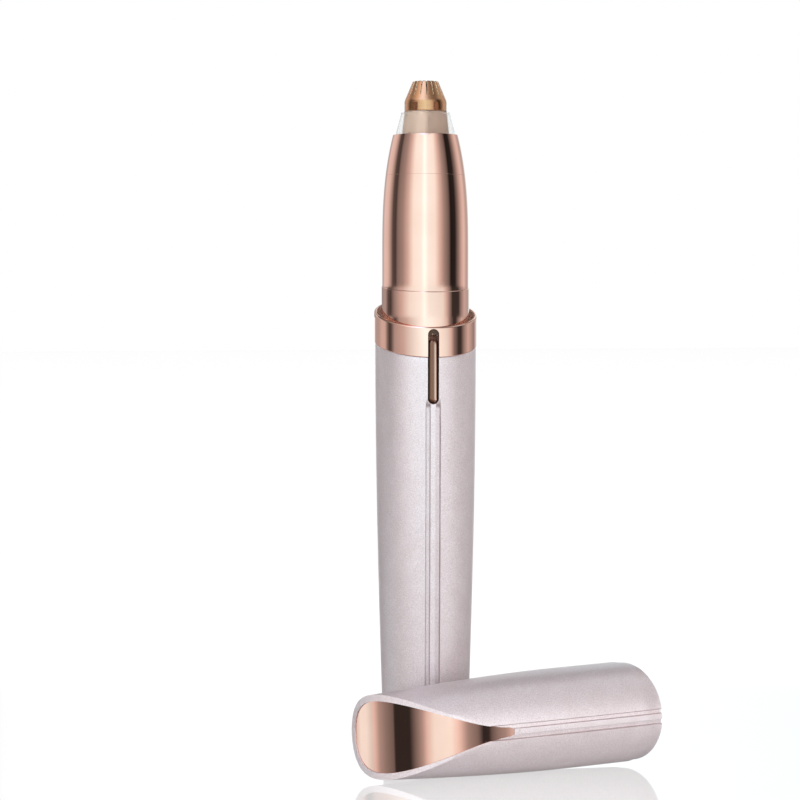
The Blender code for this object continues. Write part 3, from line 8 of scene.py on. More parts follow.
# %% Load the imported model
import math

import bmesh
import bpy
from mathutils import Matrix, Vector


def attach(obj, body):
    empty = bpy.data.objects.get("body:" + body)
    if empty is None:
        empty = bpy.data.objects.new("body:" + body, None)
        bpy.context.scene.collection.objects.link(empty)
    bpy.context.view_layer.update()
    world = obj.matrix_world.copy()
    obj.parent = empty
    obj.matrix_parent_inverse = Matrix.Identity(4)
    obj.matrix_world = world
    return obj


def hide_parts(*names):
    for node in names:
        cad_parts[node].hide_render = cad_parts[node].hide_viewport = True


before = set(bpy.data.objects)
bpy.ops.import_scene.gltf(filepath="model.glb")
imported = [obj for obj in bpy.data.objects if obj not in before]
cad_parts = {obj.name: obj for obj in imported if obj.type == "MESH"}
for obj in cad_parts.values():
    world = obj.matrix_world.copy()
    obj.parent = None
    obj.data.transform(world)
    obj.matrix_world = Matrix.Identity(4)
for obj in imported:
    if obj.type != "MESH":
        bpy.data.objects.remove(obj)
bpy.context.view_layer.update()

# %% [markdown]
# ## Sizes
# The finer pieces repeat the CAD's own driving sizes, but the groove is 0.4 mm wider here, because the
# photograph shows it so. Sizes are written once, in millimetres times MM, so that a reader can compare
# them with a ruler.

# %% Sizes that several pieces share
MM = 0.001

TRIMMER_TURN = math.radians(-16)
BARREL_HEIGHT = 78.9 * MM
BARREL_FOOT_RADIUS = 7.85 * MM
BARREL_TOP_RADIUS = 9.50 * MM
BARREL_WALL = 1.0 * MM
BARREL_FLOOR = 1.5 * MM
FOOT_EDGE = 1.6 * MM
COLLAR_Z = 79.2 * MM
COLLAR_SLOPE = 0.28
SLOPE_FADE = 6
GROOVE_WIDTH = 2.9 * MM
GROOVE_DEPTH = 0.5 * MM
GROOVE_EDGE = 0.16 * MM
RIB_WIDTH = 1.0 * MM
NECK_RADIUS = 8.18 * MM
NECK_BEND_Z = 96.0 * MM
NECK_TOP_Z = 110.7 * MM
NECK_WALL = 0.75 * MM
NOSE_TOP_Z = 118.3 * MM
NOSE_TOP_RADIUS = 6.15 * MM
NOSE_POWER = 2.8
SEAM = 0.006 * MM

# %% [markdown]
# ## Small helpers
# Colours are written as the sRGB hex values that a picture editor shows. Blender's shaders want linear
# light, so one function turns them. Another adds any node, with its settings and its links, and a few
# more stand on it, which keeps the node trees below short enough to read.

# %% Colour and node helpers
def linear(hex_code):
    """Linear RGBA from an sRGB hex code such as C8A090."""
    channels = [int(hex_code[place:place + 2], 16) / 255 for place in (0, 2, 4)]
    return [c / 12.92 if c <= 0.04045 else ((c + 0.055) / 1.055) ** 2.4 for c in channels] + [1.0]


def add(tree, kind, inputs=None, **settings):
    """Adds a node. settings are its properties; inputs are values, or sockets to link from."""
    node = tree.nodes.new(kind)
    for name, value in settings.items():
        setattr(node, name, value)
    for name, value in (inputs or {}).items():
        socket = node.inputs[name]
        if isinstance(value, bpy.types.NodeSocket):
            tree.links.new(value, socket)
        else:
            socket.default_value = value
    return node


def maths(tree, operation, *values, clamp=False):
    """One step of arithmetic on numbers or sockets."""
    inputs = dict(enumerate(values))
    return add(tree, "ShaderNodeMath", inputs, operation=operation, use_clamp=clamp).outputs[0]


def along(tree, vector, direction):
    """How far a vector reaches in a direction."""
    node = add(tree, "ShaderNodeVectorMath", {0: vector, 1: direction}, operation="DOT_PRODUCT")
    return node.outputs["Value"]


def parts(tree, vector):
    """The three parts of a vector, by the names X, Y and Z."""
    return add(tree, "ShaderNodeSeparateXYZ", {"Vector": vector}).outputs


def joined(tree, **values):
    """A vector from its parts. A part that isn't given is zero."""
    return add(tree, "ShaderNodeCombineXYZ", values).outputs[0]


def between(tree, factor, low, high, span=(0.0, 1.0)):
    """A number, or a colour in hex, that goes from low to high while the factor crosses its span."""
    share = {"Value": factor, "From Min": span[0], "From Max": span[1]}
    if not isinstance(low, str):
        return add(tree, "ShaderNodeMapRange", {**share, "To Min": low, "To Max": high}).outputs[0]
    factor = add(tree, "ShaderNodeMapRange", share).outputs[0]
    return blended(tree, factor, linear(low), linear(high), "MIX")


def blended(tree, factor, one, other, way):
    """Two colours laid over each other in one of the Mix node's ways."""
    node = add(tree, "ShaderNodeMix", {"Factor": factor, 6: one, 7: other}, data_type="RGBA", blend_type=way)
    return node.outputs[2]


def ramp(tree, factor, stops):
    """A colour that runs through stops of (place from 0 to 1, linear colour)."""
    node = add(tree, "ShaderNodeValToRGB", {"Fac": factor})
    strip = node.color_ramp
    while len(strip.elements) < len(stops):
        strip.elements.new(0.5)
    for element, (position, colour) in zip(strip.elements, stops):
        element.position = position
        element.color = colour
    return node.outputs["Color"]


print("rose gold in linear light:", [round(c, 3) for c in linear("E2B49C")])

# %% [markdown]
# ## Finishes
# Every finish is a Principled BSDF that starts from what the surface is on the real object. Patterns
# read Object coordinates, and since each piece's mesh already sits at its place, the sizes below are
# real ones. Noise seldom leaves the span from 0.3 to 0.7, so that span is stretched over the change
# that a pattern makes, and a narrower one gives slow clouds a little more contrast.

# %% A finish and its patterns
NOISE_SPAN = (0.3, 0.7)
CLOUD_SPAN = (0.35, 0.65)


class Finish:
    """A material with a Principled BSDF, and the position that its patterns read."""

    def __init__(self, name, **inputs):
        self.material = bpy.data.materials.new(name)
        self.material.use_nodes = True
        self.tree = self.material.node_tree
        self.shader = self.tree.nodes["Principled BSDF"]
        for socket, value in inputs.items():
            self.shader.inputs[socket.replace("_", " ")].default_value = value
        self.place = add(self.tree, "ShaderNodeTexCoord").outputs["Object"]

    def noise(self, size, detail=2.0, place=None):
        """Soft random cells of a real size."""
        place = self.place if place is None else place
        inputs = {"Vector": place, "Scale": 1 / size, "Detail": detail}
        return add(self.tree, "ShaderNodeTexNoise", inputs).outputs["Fac"]

    def drive(self, socket, source):
        """Links a value or a colour to the shader."""
        self.tree.links.new(source, self.shader.inputs[socket])

    def vary(self, socket, factor, low, high, span=NOISE_SPAN):
        """Lets one input of the shader go from low to high with a pattern."""
        self.drive(socket, between(self.tree, factor, low, high, span))

    def relief(self, height, depth, strength):
        """Gives the surface a fine relief of a real depth."""
        node = add(self.tree, "ShaderNodeBump", {"Height": height, "Distance": depth, "Strength": strength})
        self.drive("Normal", node.outputs["Normal"])


# %% [markdown]
# ### Pearl paint
# The barrel and the cap are ABS, sprayed with a pinkish silver paint full of fine mica flakes, under a
# satin clear coat. The flakes are some 0.03 mm wide, too fine to show here, so they are drawn 0.16 mm
# wide, as a small change of colour and of roughness and as a very shallow relief. The cap gets a lighter
# copy of the same paint, which is painted light. The walls of the pressed groove, which the groove's node
# tree marks, get a painted shade: a darker tint, as faces that stand close shade each other.

# %% Pearl paint
FLAKE_SIZE = 0.16 * MM
FLAKE_RELIEF = 0.006 * MM
PAINT_CLOUD_SIZE = 3.0 * MM


def pearl_paint(name, low, high):
    paint = Finish(name, Metallic=0.50, Coat_Weight=0.15, Coat_Roughness=0.30)
    flakes = paint.noise(FLAKE_SIZE, 1.0)
    wall = add(paint.tree, "ShaderNodeAttribute", attribute_name="wall").outputs["Fac"]
    clouds = between(paint.tree, paint.noise(PAINT_CLOUD_SIZE), "FAF8F8", "FFFFFF", NOISE_SPAN)
    colour = between(paint.tree, flakes, low, high, NOISE_SPAN)
    # The second tint is a painted shade on the groove's walls.
    for tint in (clouds, between(paint.tree, wall, "FFFFFF", "CFC6C6")):
        colour = blended(paint.tree, 1.0, colour, tint, "MULTIPLY")
    paint.drive("Base Color", colour)
    paint.vary("Roughness", flakes, 0.36, 0.50)
    paint.relief(flakes, FLAKE_RELIEF, 0.6)
    return paint.material


PEARL = pearl_paint("satin_pearl_paint", "C8BBBC", "E5D8D9")
# The cap's paint is a lighter copy of the barrel's, which is painted light.
CAP_PEARL_LIT = pearl_paint("satin_pearl_paint_cap_lit", "D8C9CA", "F2E4E5")
print("made", PEARL.name, CAP_PEARL_LIT.name)

# %% [markdown]
# ### Plated metal
# The collar, the neck, the nose and the cap's inlay are plastic with a vacuum plating of rose gold. It
# is a mirror, with only a trace of ripple from the moulding under it and faint wiping marks that change
# its roughness. The head's plating is browner and duller. The walls of the switch's slot are painted
# dark and dull as shade, and darkest at the slot's top end, where a painted shadow lies.

# %% Plated metals
PLATING_CLOUD_SIZE = 6.0 * MM
WIPE_SIZE = 0.5 * MM
PLATING_RIPPLE = 0.0006 * MM


def plating(name, low, high, roughness, metallic):
    metal = Finish(name, Metallic=metallic)
    clouds = metal.noise(PLATING_CLOUD_SIZE)
    metal.vary("Base Color", clouds, low, high, CLOUD_SPAN)
    metal.vary("Roughness", metal.noise(WIPE_SIZE, 3.0), roughness, roughness * 1.6)
    metal.relief(clouds, PLATING_RIPPLE, 0.5)
    return metal.material


ROSE_GOLD = plating("rose_gold_plating", "E6B5A4", "E9B9A8", 0.025, 1.0)
HEAD_GOLD = plating("head_gold_plating", "C48E68", "CB9670", 0.19, 1.0)
# Painted shade on the slot's walls, and a painted shadow at its top end.
SLOT_SHADE = plating("slot_wall_painted_shade", "7A5444", "835C4B", 0.5, 0.3)
ARCH_SHADE = plating("arch_painted_shadow", "3E2A20", "46301F", 0.4, 0.3)
print("made", ROSE_GOLD.name, HEAD_GOLD.name, SLOT_SHADE.name, ARCH_SHADE.name)

# %% [markdown]
# ### Moulded plastics
# The inner pieces are plain injection-moulded plastic. A spark-eroded mould leaves a fine dull grain,
# mostly 0.25 mm wide, and flow in the mould leaves slow changes of tone. Rubber and foam are made the
# same way, with a grain of their own, and so are the slit walls and the pockets of the head's guard: the
# slits' off-white is a painted highlight, and the pockets' dark brown is painted shade.

# %% Moulded plastics, rubber and foam
FLOW_SIZE = 5.0 * MM


def moulded(name, low, high, roughness, grain, depth):
    plastic = Finish(name)
    pits = plastic.noise(grain * MM)
    plastic.vary("Base Color", plastic.noise(FLOW_SIZE), low, high, CLOUD_SPAN)
    plastic.vary("Roughness", pits, roughness * 0.85, roughness * 1.1)
    plastic.relief(pits, depth * MM, 0.7)
    return plastic.material


# Each row has the name, the two tones, the roughness, and the grain's width and depth in millimetres.
MOULDED = (
    ("white_abs", "E4E3DF", "EEEDE9", 0.45, 0.25, 0.006),
    ("black_acetal", "191919", "222223", 0.45, 0.25, 0.006),
    ("grey_shrink_wrap", "3A3D44", "454852", 0.30, 0.8, 0.004),
    ("grey_nylon", "3C3C3F", "48484B", 0.50, 0.25, 0.006),
    ("red_wire_insulation", "A81E1C", "BC2A25", 0.40, 0.4, 0.004),
    ("black_silicone_rubber", "1C1C1E", "262628", 0.70, 0.3, 0.010),
    ("grey_closed_cell_foam", "77787B", "8E8F92", 0.95, 0.45, 0.120),
    # The guard's slit walls: off-white as a painted highlight.
    ("slit_wall_painted_highlight", "F4E2C8", "FBEEDA", 0.35, 0.25, 0.006),
    # The guard's pockets: dark brown as painted shade.
    ("pocket_painted_shade", "6A3E20", "744628", 0.35, 0.25, 0.006))
(WHITE, BLACK, GREY_WRAP, GREY_PLASTIC, RED_WIRE, RUBBER, FOAM, SLIT_HIGHLIGHT, POCKET_SHADE) = [
    moulded(*row) for row in MOULDED]
print("made", len(MOULDED), "moulded finishes")

# %% Tan core plastic
TAN_GRAIN = 0.25 * MM
TAN_RELIEF = 0.006 * MM
TAN_SHADE_SPAN = (-0.2 * MM, 0.6 * MM)


def tan_plastic():
    """The head's tan core, with its right half, as the camera sees it, a tone darker than its left, as a
    painted shade.
    """
    plastic = Finish("tan_polycarbonate_painted_shade")
    pits = plastic.noise(TAN_GRAIN)
    toward_shade = along(plastic.tree, plastic.place, CAMERA_RIGHT)
    # The right half, as the camera sees it, gets a painted shade.
    plastic.vary("Base Color", toward_shade, "B49C8B", "8A7262", TAN_SHADE_SPAN)
    plastic.vary("Roughness", pits, 0.5, 0.6)
    plastic.relief(pits, TAN_RELIEF, 0.7)
    return plastic.material


# %% [markdown]
# ### Metals inside
# Contacts, screws and springs are steel with a thin nickel plating, which keeps the drawing lines of
# the wire or strip. The motor's can and the capacitor are drawn and spun, so theirs run round them. A
# pattern that is squeezed along an axis makes lines along that axis, and squeezed along two it makes
# lines that run round.

# %% Metals inside
LINE_SIZE = 0.12 * MM
LINE_RELIEF = 0.003 * MM
LINES_ALONG_Z = (1.0, 1.0, 0.06)
LINES_ALONG_Y = (1.0, 0.08, 1.0)
LINES_ROUND_Z = (0.06, 0.06, 1.0)
LINES_ROUND_Y = (0.06, 1.0, 0.06)


def drawn_metal(name, low, high, roughness, squeeze):
    metal = Finish(name, Metallic=1.0)
    squeezed = add(metal.tree, "ShaderNodeMapping", {"Vector": metal.place, "Scale": squeeze})
    lines = metal.noise(LINE_SIZE, 3.0, squeezed.outputs["Vector"])
    metal.vary("Base Color", lines, low, high)
    metal.vary("Roughness", lines, roughness, roughness * 1.5)
    metal.relief(lines, LINE_RELIEF, 0.6)
    return metal.material


NICKEL = drawn_metal("nickel_plated_steel", "BDBAB4", "D2CFC9", 0.22, LINES_ALONG_Z)
MOTOR_STEEL = drawn_metal("drawn_motor_steel", "B4B3B0", "CBCAC7", 0.28, LINES_ROUND_Z)
BLADE_STEEL = drawn_metal("ground_blade_steel", "C4C5C6", "DCDDDE", 0.18, LINES_ALONG_Y)
BATTERY_STEEL = drawn_metal("battery_can_steel", "C6C5C2", "D8D7D4", 0.20, LINES_ROUND_Z)
ALUMINIUM = drawn_metal("spun_aluminium", "D4D5D6", "E4E5E6", 0.25, LINES_ROUND_Y)
BRASS = drawn_metal("turned_brass", "C9A458", "DCB96C", 0.24, LINES_ROUND_Z)
TINNED = drawn_metal("tinned_copper", "C9AE9C", "D8C3B4", 0.30, LINES_ALONG_Z)
print("made", NICKEL.name, "and six more metals")

# %% [markdown]
# ### Circuit board and ribbon
# The board is glass fibre under a green lacquer. Copper tracks lie under the lacquer as slightly
# lighter lines 0.18 mm wide. The ribbon is amber polyimide film over copper strips, which show through
# it as slow stripes.

# %% Board and ribbon
TRACK_UNIT = 1.0 * MM
TRACK_RELIEF = 0.02 * MM
STRIPE_UNIT = 3.2 * MM
FILM_GRAIN = 0.5 * MM


def board_lacquer():
    board = Finish("green_board_lacquer", Roughness=0.35)
    tracks = add(board.tree, "ShaderNodeTexBrick", {
        "Vector": board.place, "Scale": 1 / TRACK_UNIT, "Mortar Size": 0.09, "Brick Width": 1.9,
        "Row Height": 0.9, "Color1": linear("1E5A38"), "Color2": linear("22623D"),
        "Mortar": linear("2F7A4C")})
    board.drive("Base Color", tracks.outputs["Color"])
    board.relief(tracks.outputs["Fac"], TRACK_RELIEF, 0.5)
    return board.material


def ribbon_film():
    film = Finish("amber_polyimide_film")
    stripes = add(film.tree, "ShaderNodeTexWave", {
        "Vector": film.place, "Scale": 1 / STRIPE_UNIT, "Distortion": 0.0}, bands_direction="X")
    film.vary("Base Color", stripes.outputs["Fac"], "B06A24", "D08A3A", (0.2, 0.8))
    film.vary("Roughness", film.noise(FILM_GRAIN), 0.20, 0.32, (0.0, 1.0))
    return film.material


BOARD = board_lacquer()
RIBBON = ribbon_film()
print("made", BOARD.name, RIBBON.name)

# %% [markdown]
# ### Clear acrylic
# The ring between the nose and the head is clear acrylic. Real acrylic has an IOR of 1.49, but in the
# photograph the ring nearly vanishes against white. At 1.12 its edges stay as light as they are there.
# A touch of moulding haze makes its roughness vary.

# %% Clear acrylic
HAZE_SIZE = 1.5 * MM


def clear_acrylic():
    acrylic = Finish("clear_acrylic", Base_Color=linear("F6F7F7"), Transmission_Weight=1.0, IOR=1.12)
    acrylic.vary("Roughness", acrylic.noise(HAZE_SIZE), 0.12, 0.20)
    return acrylic.material


CLEAR = clear_acrylic()
print("made", CLEAR.name)

# %% [markdown]
# ## The camera
# The photograph looks at the trimmer from about 9 degrees to one side of its switch, from just above
# the collar, with a long lens. The camera is placed so that the foot and the head's top land where the
# photograph has them, and nothing needs a lens shift.

# %% Camera
CAMERA_AZIMUTH = math.radians(-25.0)
CAMERA_DISTANCE = 515.0 * MM
CAMERA_HEIGHT = 84.0 * MM
CAMERA_YAW = math.radians(24.463)
CAMERA_PITCH = math.radians(-1.744)
CAMERA_NEAR = 10 * MM
SENSOR_WIDTH = 36.0
LENS = 122.5
CAMERA_RIGHT = (math.cos(CAMERA_AZIMUTH), math.sin(CAMERA_AZIMUTH), 0.0)
CAMERA_WARD = (math.sin(CAMERA_AZIMUTH), -math.cos(CAMERA_AZIMUTH), 0.0)

camera_data = bpy.data.cameras.new("camera")
camera_data.sensor_width = SENSOR_WIDTH
camera_data.lens = LENS
camera_data.clip_start = CAMERA_NEAR
camera = bpy.data.objects.new("camera", camera_data)
bpy.context.scene.collection.objects.link(camera)
camera.location = CAMERA_DISTANCE * Vector(CAMERA_WARD) + Vector((0, 0, CAMERA_HEIGHT))
camera.rotation_euler = (math.pi / 2 + CAMERA_PITCH, 0, -CAMERA_YAW)
bpy.context.scene.camera = camera
bpy.context.scene.view_settings.view_transform = "Standard"
print("camera at", [round(c, 3) for c in camera.location])

# %% [markdown]
# ## Turning a profile
# Most pieces are bodies of revolution, made by turning a closed outline of rows round Z. A row is
# a radius, a height, and two things that may follow: a slope, which tips its ring about X because the
# collar is cut at a slant, and a skin value of 1 where the row belongs to the outer surface. Rings can
# have uneven steps, so that the front, where the groove is, gets more of them. The few pieces that
# aren't round are lofted: faces run from one outline of points to the next.

# %% Turning a profile
EVEN_STEPS = 128
EVEN_TURN = [2 * math.pi * step / EVEN_STEPS for step in range(EVEN_STEPS)]
SMOOTH_BELOW = math.radians(30)
LEFT_SHARP_BELOW = math.radians(25)
ROUNDING_STEPS = 4
ROUNDING_REACH = 0.4
HOLDING_REACH = 1.25
HOLDING_LIMIT = 0.48


def full_row(row):
    """A row with all its four values, slope and skin being zero where they are left out."""
    return (*row, 0, 0)[:4]


def spread(start, end, count):
    """Even values from start to end, both included."""
    return [start + (end - start) * index / (count - 1) for index in range(count)]


def bridge(bm, rings):
    """Faces from each ring of points to the next. Where a ring has shrunk to one point, triangles."""
    for near, far in zip(rings, rings[1:]):
        for here in range(len(near)):
            ahead = (here + 1) % len(near)
            corners = list(dict.fromkeys((near[here], near[ahead], far[ahead], far[here])))
            if len(corners) > 2:
                bm.faces.new(corners)


def new_piece(name, bm):
    """An object from a bmesh, with its faces outwards and its edges smooth below 30 degrees."""
    bmesh.ops.recalc_face_normals(bm, faces=bm.faces)
    if bm.calc_volume(signed=True) < 0:
        bmesh.ops.reverse_faces(bm, faces=bm.faces)
    mesh = bpy.data.meshes.new(name)
    bm.to_mesh(mesh)
    bm.free()
    mesh.shade_smooth()
    mesh.set_sharp_from_angle(angle=SMOOTH_BELOW)
    piece = bpy.data.objects.new(name, mesh)
    bpy.context.scene.collection.objects.link(piece)
    return piece


def turned(name, rows, angles=EVEN_TURN):
    """A closed shell from rows of (radius, height, slope, skin), the slope and skin being optional."""
    bm = bmesh.new()
    skin = bm.verts.layers.float.new("skin")
    rings = []
    for radius, height, slope, outer in map(full_row, rows):
        if radius <= 0:
            rings.append([bm.verts.new((0, 0, height))] * len(angles))
            continue
        ring = []
        for angle in angles:
            y = radius * math.sin(angle)
            vert = bm.verts.new((radius * math.cos(angle), y, height + slope * y))
            vert[skin] = outer
            ring.append(vert)
        rings.append(ring)
    bridge(bm, rings + rings[:1])
    return new_piece(name, bm)


def lofted(name, loops):
    """A closed shape through loops of points, with a face over each end."""
    bm = bmesh.new()
    rings = [[bm.verts.new(point) for point in loop] for loop in loops]
    bridge(bm, rings)
    bm.faces.new(rings[0])
    bm.faces.new(rings[-1][::-1])
    return new_piece(name, bm)


def rounded(rows, size, steps=ROUNDING_STEPS):
    """Rounds the sharp corners of a closed outline, with a row close by on each side to hold the flats."""
    full = [full_row(row) for row in rows]
    made = []
    for index, row in enumerate(full):
        here, before, after = Vector(row), Vector(full[index - 1]), Vector(full[(index + 1) % len(full)])
        back, ahead = (before - here).xy.length, (after - here).xy.length
        turn = math.pi - (before - here).xy.angle((after - here).xy, 0)
        if row[0] <= 0 or turn < LEFT_SHARP_BELOW:
            made.append(row)
            continue
        reach = min(size * math.tan(turn / 2), ROUNDING_REACH * back, ROUNDING_REACH * ahead)
        start, end = here.lerp(before, reach / back), here.lerp(after, reach / ahead)
        made.append(tuple(here.lerp(before, min(HOLDING_REACH * reach / back, HOLDING_LIMIT))))
        for share in spread(0, 1, steps + 1):
            made.append(tuple(start.lerp(here, share).lerp(here.lerp(end, share), share)))
        made.append(tuple(here.lerp(after, min(HOLDING_REACH * reach / ahead, HOLDING_LIMIT))))
    return made


def corner(radius, height, size, start, end, slope=0.0, steps=ROUNDING_STEPS):
    """Rows of the skin's rounded corner round the point (radius, height), from one angle to another."""
    rows = []
    for angle in spread(math.radians(start), math.radians(end), steps + 1):
        rows.append((radius + size * math.cos(angle), height + size * math.sin(angle), slope, 1.0))
    return rows


# %% [markdown]
# ## Baking and placing
# A piece is made round its own axis and is then turned and moved to its place by changing its mesh, so
# that the object itself stays at the origin.

# %% Baking and placing
IN_TRIMMER = Matrix.Rotation(TRIMMER_TURN, 4, "Z")


def applied(piece):
    """Gives the piece the mesh that its modifiers make, as a plain mesh."""
    evaluated = piece.evaluated_get(bpy.context.evaluated_depsgraph_get())
    mesh = bpy.data.meshes.new_from_object(evaluated)
    piece.modifiers.clear()
    piece.data = mesh
    return mesh


def bake(piece, place=IN_TRIMMER):
    """Applies the modifiers and puts the mesh in its place."""
    mesh = applied(piece)
    mesh.transform(place)
    mesh.shade_smooth()
    mesh.set_sharp_from_angle(angle=SMOOTH_BELOW)
    return piece


def volume(mesh):
    """The volume that a closed mesh encloses, in cubic millimetres."""
    bm = bmesh.new()
    bm.from_mesh(mesh)
    size = bm.calc_volume(signed=True) / MM ** 3
    bm.free()
    return size


def subtract(piece, *cutters):
    """Cuts closed shapes out of the piece, then forgets them."""
    for cutter in cutters:
        modifier = piece.modifiers.new("cut", "BOOLEAN")
        modifier.operation = "DIFFERENCE"
        modifier.solver = "EXACT"
        modifier.material_mode = "TRANSFER"
        modifier.object = cutter
    before = volume(piece.data)
    mesh = applied(piece)
    sizes = ", ".join(f"{cutter.name} {volume(cutter.data):.0f}" for cutter in cutters)
    print(f"{piece.name} went from {before:.0f} to {volume(mesh):.0f} mm3 under {sizes} mm3")
    for cutter in cutters:
        bpy.data.objects.remove(cutter, do_unlink=True)


def lined(piece, material):
    """Gives a fresh piece or a cutter its one material."""
    piece.data.materials.append(material)
    return piece


def wear(piece, material, body, slot, *nodes):
    """Finishes a piece: its material, the body that it rides on and the CAD nodes that it stands for."""
    if not piece.data.materials:
        piece.data.materials.append(material)
    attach(piece, body)
    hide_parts(*nodes)
    piece.data.calc_loop_triangles()
    print(f"{piece.name}: {len(piece.data.loop_triangles)} triangles in {material.name}, on {body}")


# %% [markdown]
# ## The pressed groove, with Geometry Nodes
# A channel 2.9 mm wide runs up the front of the barrel and of the cap, with a rib down its middle. Its
# shape is a rule: how far a point of the skin sinks depends only on how far it is from the front line
# and on its height. Geometry Nodes can say such a rule in a few nodes, with the sizes as named inputs,
# so one tree presses the groove into both pieces. Cutting it with Booleans would leave long thin faces
# that shade badly on a satin surface. The tree also marks the groove's walls, where the paint gets a painted
# shade.

# %% The groove's node tree
def open_tree(name, sizes, counts=()):
    """A Geometry Nodes tree whose inputs are a mesh, a paint, and named sizes and counts."""
    tree = bpy.data.node_groups.new(name, "GeometryNodeTree")
    face = tree.interface
    face.new_socket("Geometry", in_out="INPUT", socket_type="NodeSocketGeometry")
    for kind, values in (("NodeSocketFloat", sizes), ("NodeSocketInt", counts)):
        for label, value in values:
            face.new_socket(label, in_out="INPUT", socket_type=kind).default_value = value
    face.new_socket("Paint", in_out="INPUT", socket_type="NodeSocketMaterial")
    face.new_socket("Geometry", in_out="OUTPUT", socket_type="NodeSocketGeometry")
    return tree, add(tree, "NodeGroupInput").outputs


def close_tree(tree, geometry):
    """Makes any copies real and hands the geometry out."""
    real = add(tree, "GeometryNodeRealizeInstances", {"Geometry": geometry}).outputs[0]
    add(tree, "NodeGroupOutput", {"Geometry": real})
    print(tree.name, "tree with", len(tree.nodes), "nodes")
    return tree


def painted(tree, geometry, paint):
    return add(tree, "GeometryNodeSetMaterial", {"Geometry": geometry, "Material": paint}).outputs[0]


def run_nodes(piece, tree, **values):
    """Adds a node tree to the piece and sets its inputs by their identifiers."""
    modifier = piece.modifiers.new(tree.name, "NODES")
    modifier.node_group = tree
    sockets = {item.name: item.identifier for item in tree.interface.items_tree if item.in_out == "INPUT"}
    for name, value in values.items():
        modifier[sockets[name.replace("_", " ")]] = value


def groove_tree():
    tree, given = open_tree("pressed groove", (
        ("Groove Width", GROOVE_WIDTH), ("Rib Width", RIB_WIDTH), ("Depth", GROOVE_DEPTH),
        ("Edge Softness", GROOVE_EDGE), ("Top Height", BARREL_HEIGHT), ("End Softness", GROOVE_EDGE)))
    place = parts(tree, add(tree, "GeometryNodeInputPosition").outputs[0])
    edge = given["Edge Softness"]

    def times(one, other):
        return maths(tree, "MULTIPLY", one, other)

    def step_past(value, limit, softness, before, after):
        """A soft step from one value to another, which ends at the limit."""
        return add(tree, "ShaderNodeMapRange", {
            "Value": value, "From Min": maths(tree, "SUBTRACT", limit, softness), "From Max": limit,
            "To Min": before, "To Max": after}, interpolation_type="SMOOTHERSTEP").outputs["Result"]

    side = maths(tree, "ABSOLUTE", place["X"])
    past_rib = maths(tree, "ADD", times(given["Rib Width"], 0.5), edge)
    inside = times(step_past(side, past_rib, edge, 0.0, 1.0),
                   step_past(side, times(given["Groove Width"], 0.5), edge, 1.0, 0.0))
    below = step_past(place["Z"], given["Top Height"], given["End Softness"], 1.0, 0.0)
    front = maths(tree, "LESS_THAN", place["Y"], 0.0)
    skin = add(tree, "GeometryNodeInputNamedAttribute", {"Name": "skin"}, data_type="FLOAT").outputs[0]
    sunk = times(times(inside, below), times(front, skin))
    # How much a point lies on the groove's walls, for the paint's painted shade there.
    wall = times(times(sunk, maths(tree, "SUBTRACT", 1.0, sunk)), 4.0)
    marked = add(tree, "GeometryNodeStoreNamedAttribute", {
        "Geometry": given["Geometry"], "Name": "wall", "Value": wall}, data_type="FLOAT").outputs[0]
    outward = add(tree, "ShaderNodeVectorMath", {0: joined(tree, X=place["X"], Y=place["Y"])},
                  operation="NORMALIZE").outputs[0]
    depth = times(times(sunk, given["Depth"]), -1.0)
    push = add(tree, "ShaderNodeVectorMath", {0: outward, "Scale": depth}, operation="SCALE").outputs[0]
    moved = add(tree, "GeometryNodeSetPosition", {"Geometry": marked, "Offset": push}).outputs[0]
    return close_tree(tree, painted(tree, moved, given["Paint"]))


GROOVE = groove_tree()

# %% [markdown]
# ## The barrel
# The barrel is a hollow tube that swells from 7.85 mm at the foot to 9.5 mm at its slanted rim. Its
# rows follow the same rule as the CAD. Steps round the front are a twentieth of a millimetre apart, so
# that the groove's edges stay crisp, and the switch's slot is cut through the wall at the end.

# %% Barrel sizes and rules
SLOT_WIDTH = 2.1 * MM
SLOT_BOTTOM_Z = 67.8 * MM
SLOT_TOP_Z = 81.8 * MM
SLOT_DEPTH = 1.6 * MM
SLOT_LIMIT_Z = 80.9 * MM
SLOT_FRONT = 12 * MM
ARCH_BACK = 9.4 * MM
FINE_HALF = 1.6 * MM
FINE_STEP = 0.05 * MM
FINE_TURN_Z = 40 * MM
BARREL_LIP = 0.12 * MM
GROOVE_TOP_Z = 68.4 * MM
GROOVE_FADE = 1.4 * MM
GROOVE_END = (66 * MM, 69 * MM)


def swell(share):
    return math.sin(math.pi / 2 * min(max(share, 0), 1))


def barrel_radius(z):
    return BARREL_FOOT_RADIUS + (BARREL_TOP_RADIUS - BARREL_FOOT_RADIUS) * swell(z / BARREL_HEIGHT)


def barrel_slope(z):
    return COLLAR_SLOPE * max(z / BARREL_HEIGHT, 0) ** SLOPE_FADE


SLOT_BACK = barrel_radius(SLOT_BOTTOM_Z) - SLOT_DEPTH


def front_fine_turn(radius, coarse=96):
    """Angles round the axis, close together at the front, which is -Y."""
    half = FINE_HALF / radius
    fine = spread(-half, half, int(2 * FINE_HALF / FINE_STEP) + 1)
    rest = spread(half, 2 * math.pi - half, coarse + 1)[1:-1]
    return [angle - math.pi / 2 for angle in fine + rest]


def stadium(half_width, y, bottom, top, middle_half, steps):
    """Points of an upright outline with round ends, at a depth y. The ends' middles stay in place."""
    points = []
    for middle, start in ((top - middle_half, 0), (bottom + middle_half, math.pi)):
        for angle in spread(start, start + math.pi, steps):
            points.append((half_width * math.cos(angle), y, middle + half_width * math.sin(angle)))
    return points


def slot_shape(name, back, top=SLOT_TOP_Z):
    """The switch's slot as a bar with round ends, pushed in from the front to a radius."""
    half = SLOT_WIDTH / 2
    return lofted(name, [stadium(half, -y, SLOT_BOTTOM_Z, top, half, 25) for y in (SLOT_FRONT, back)])


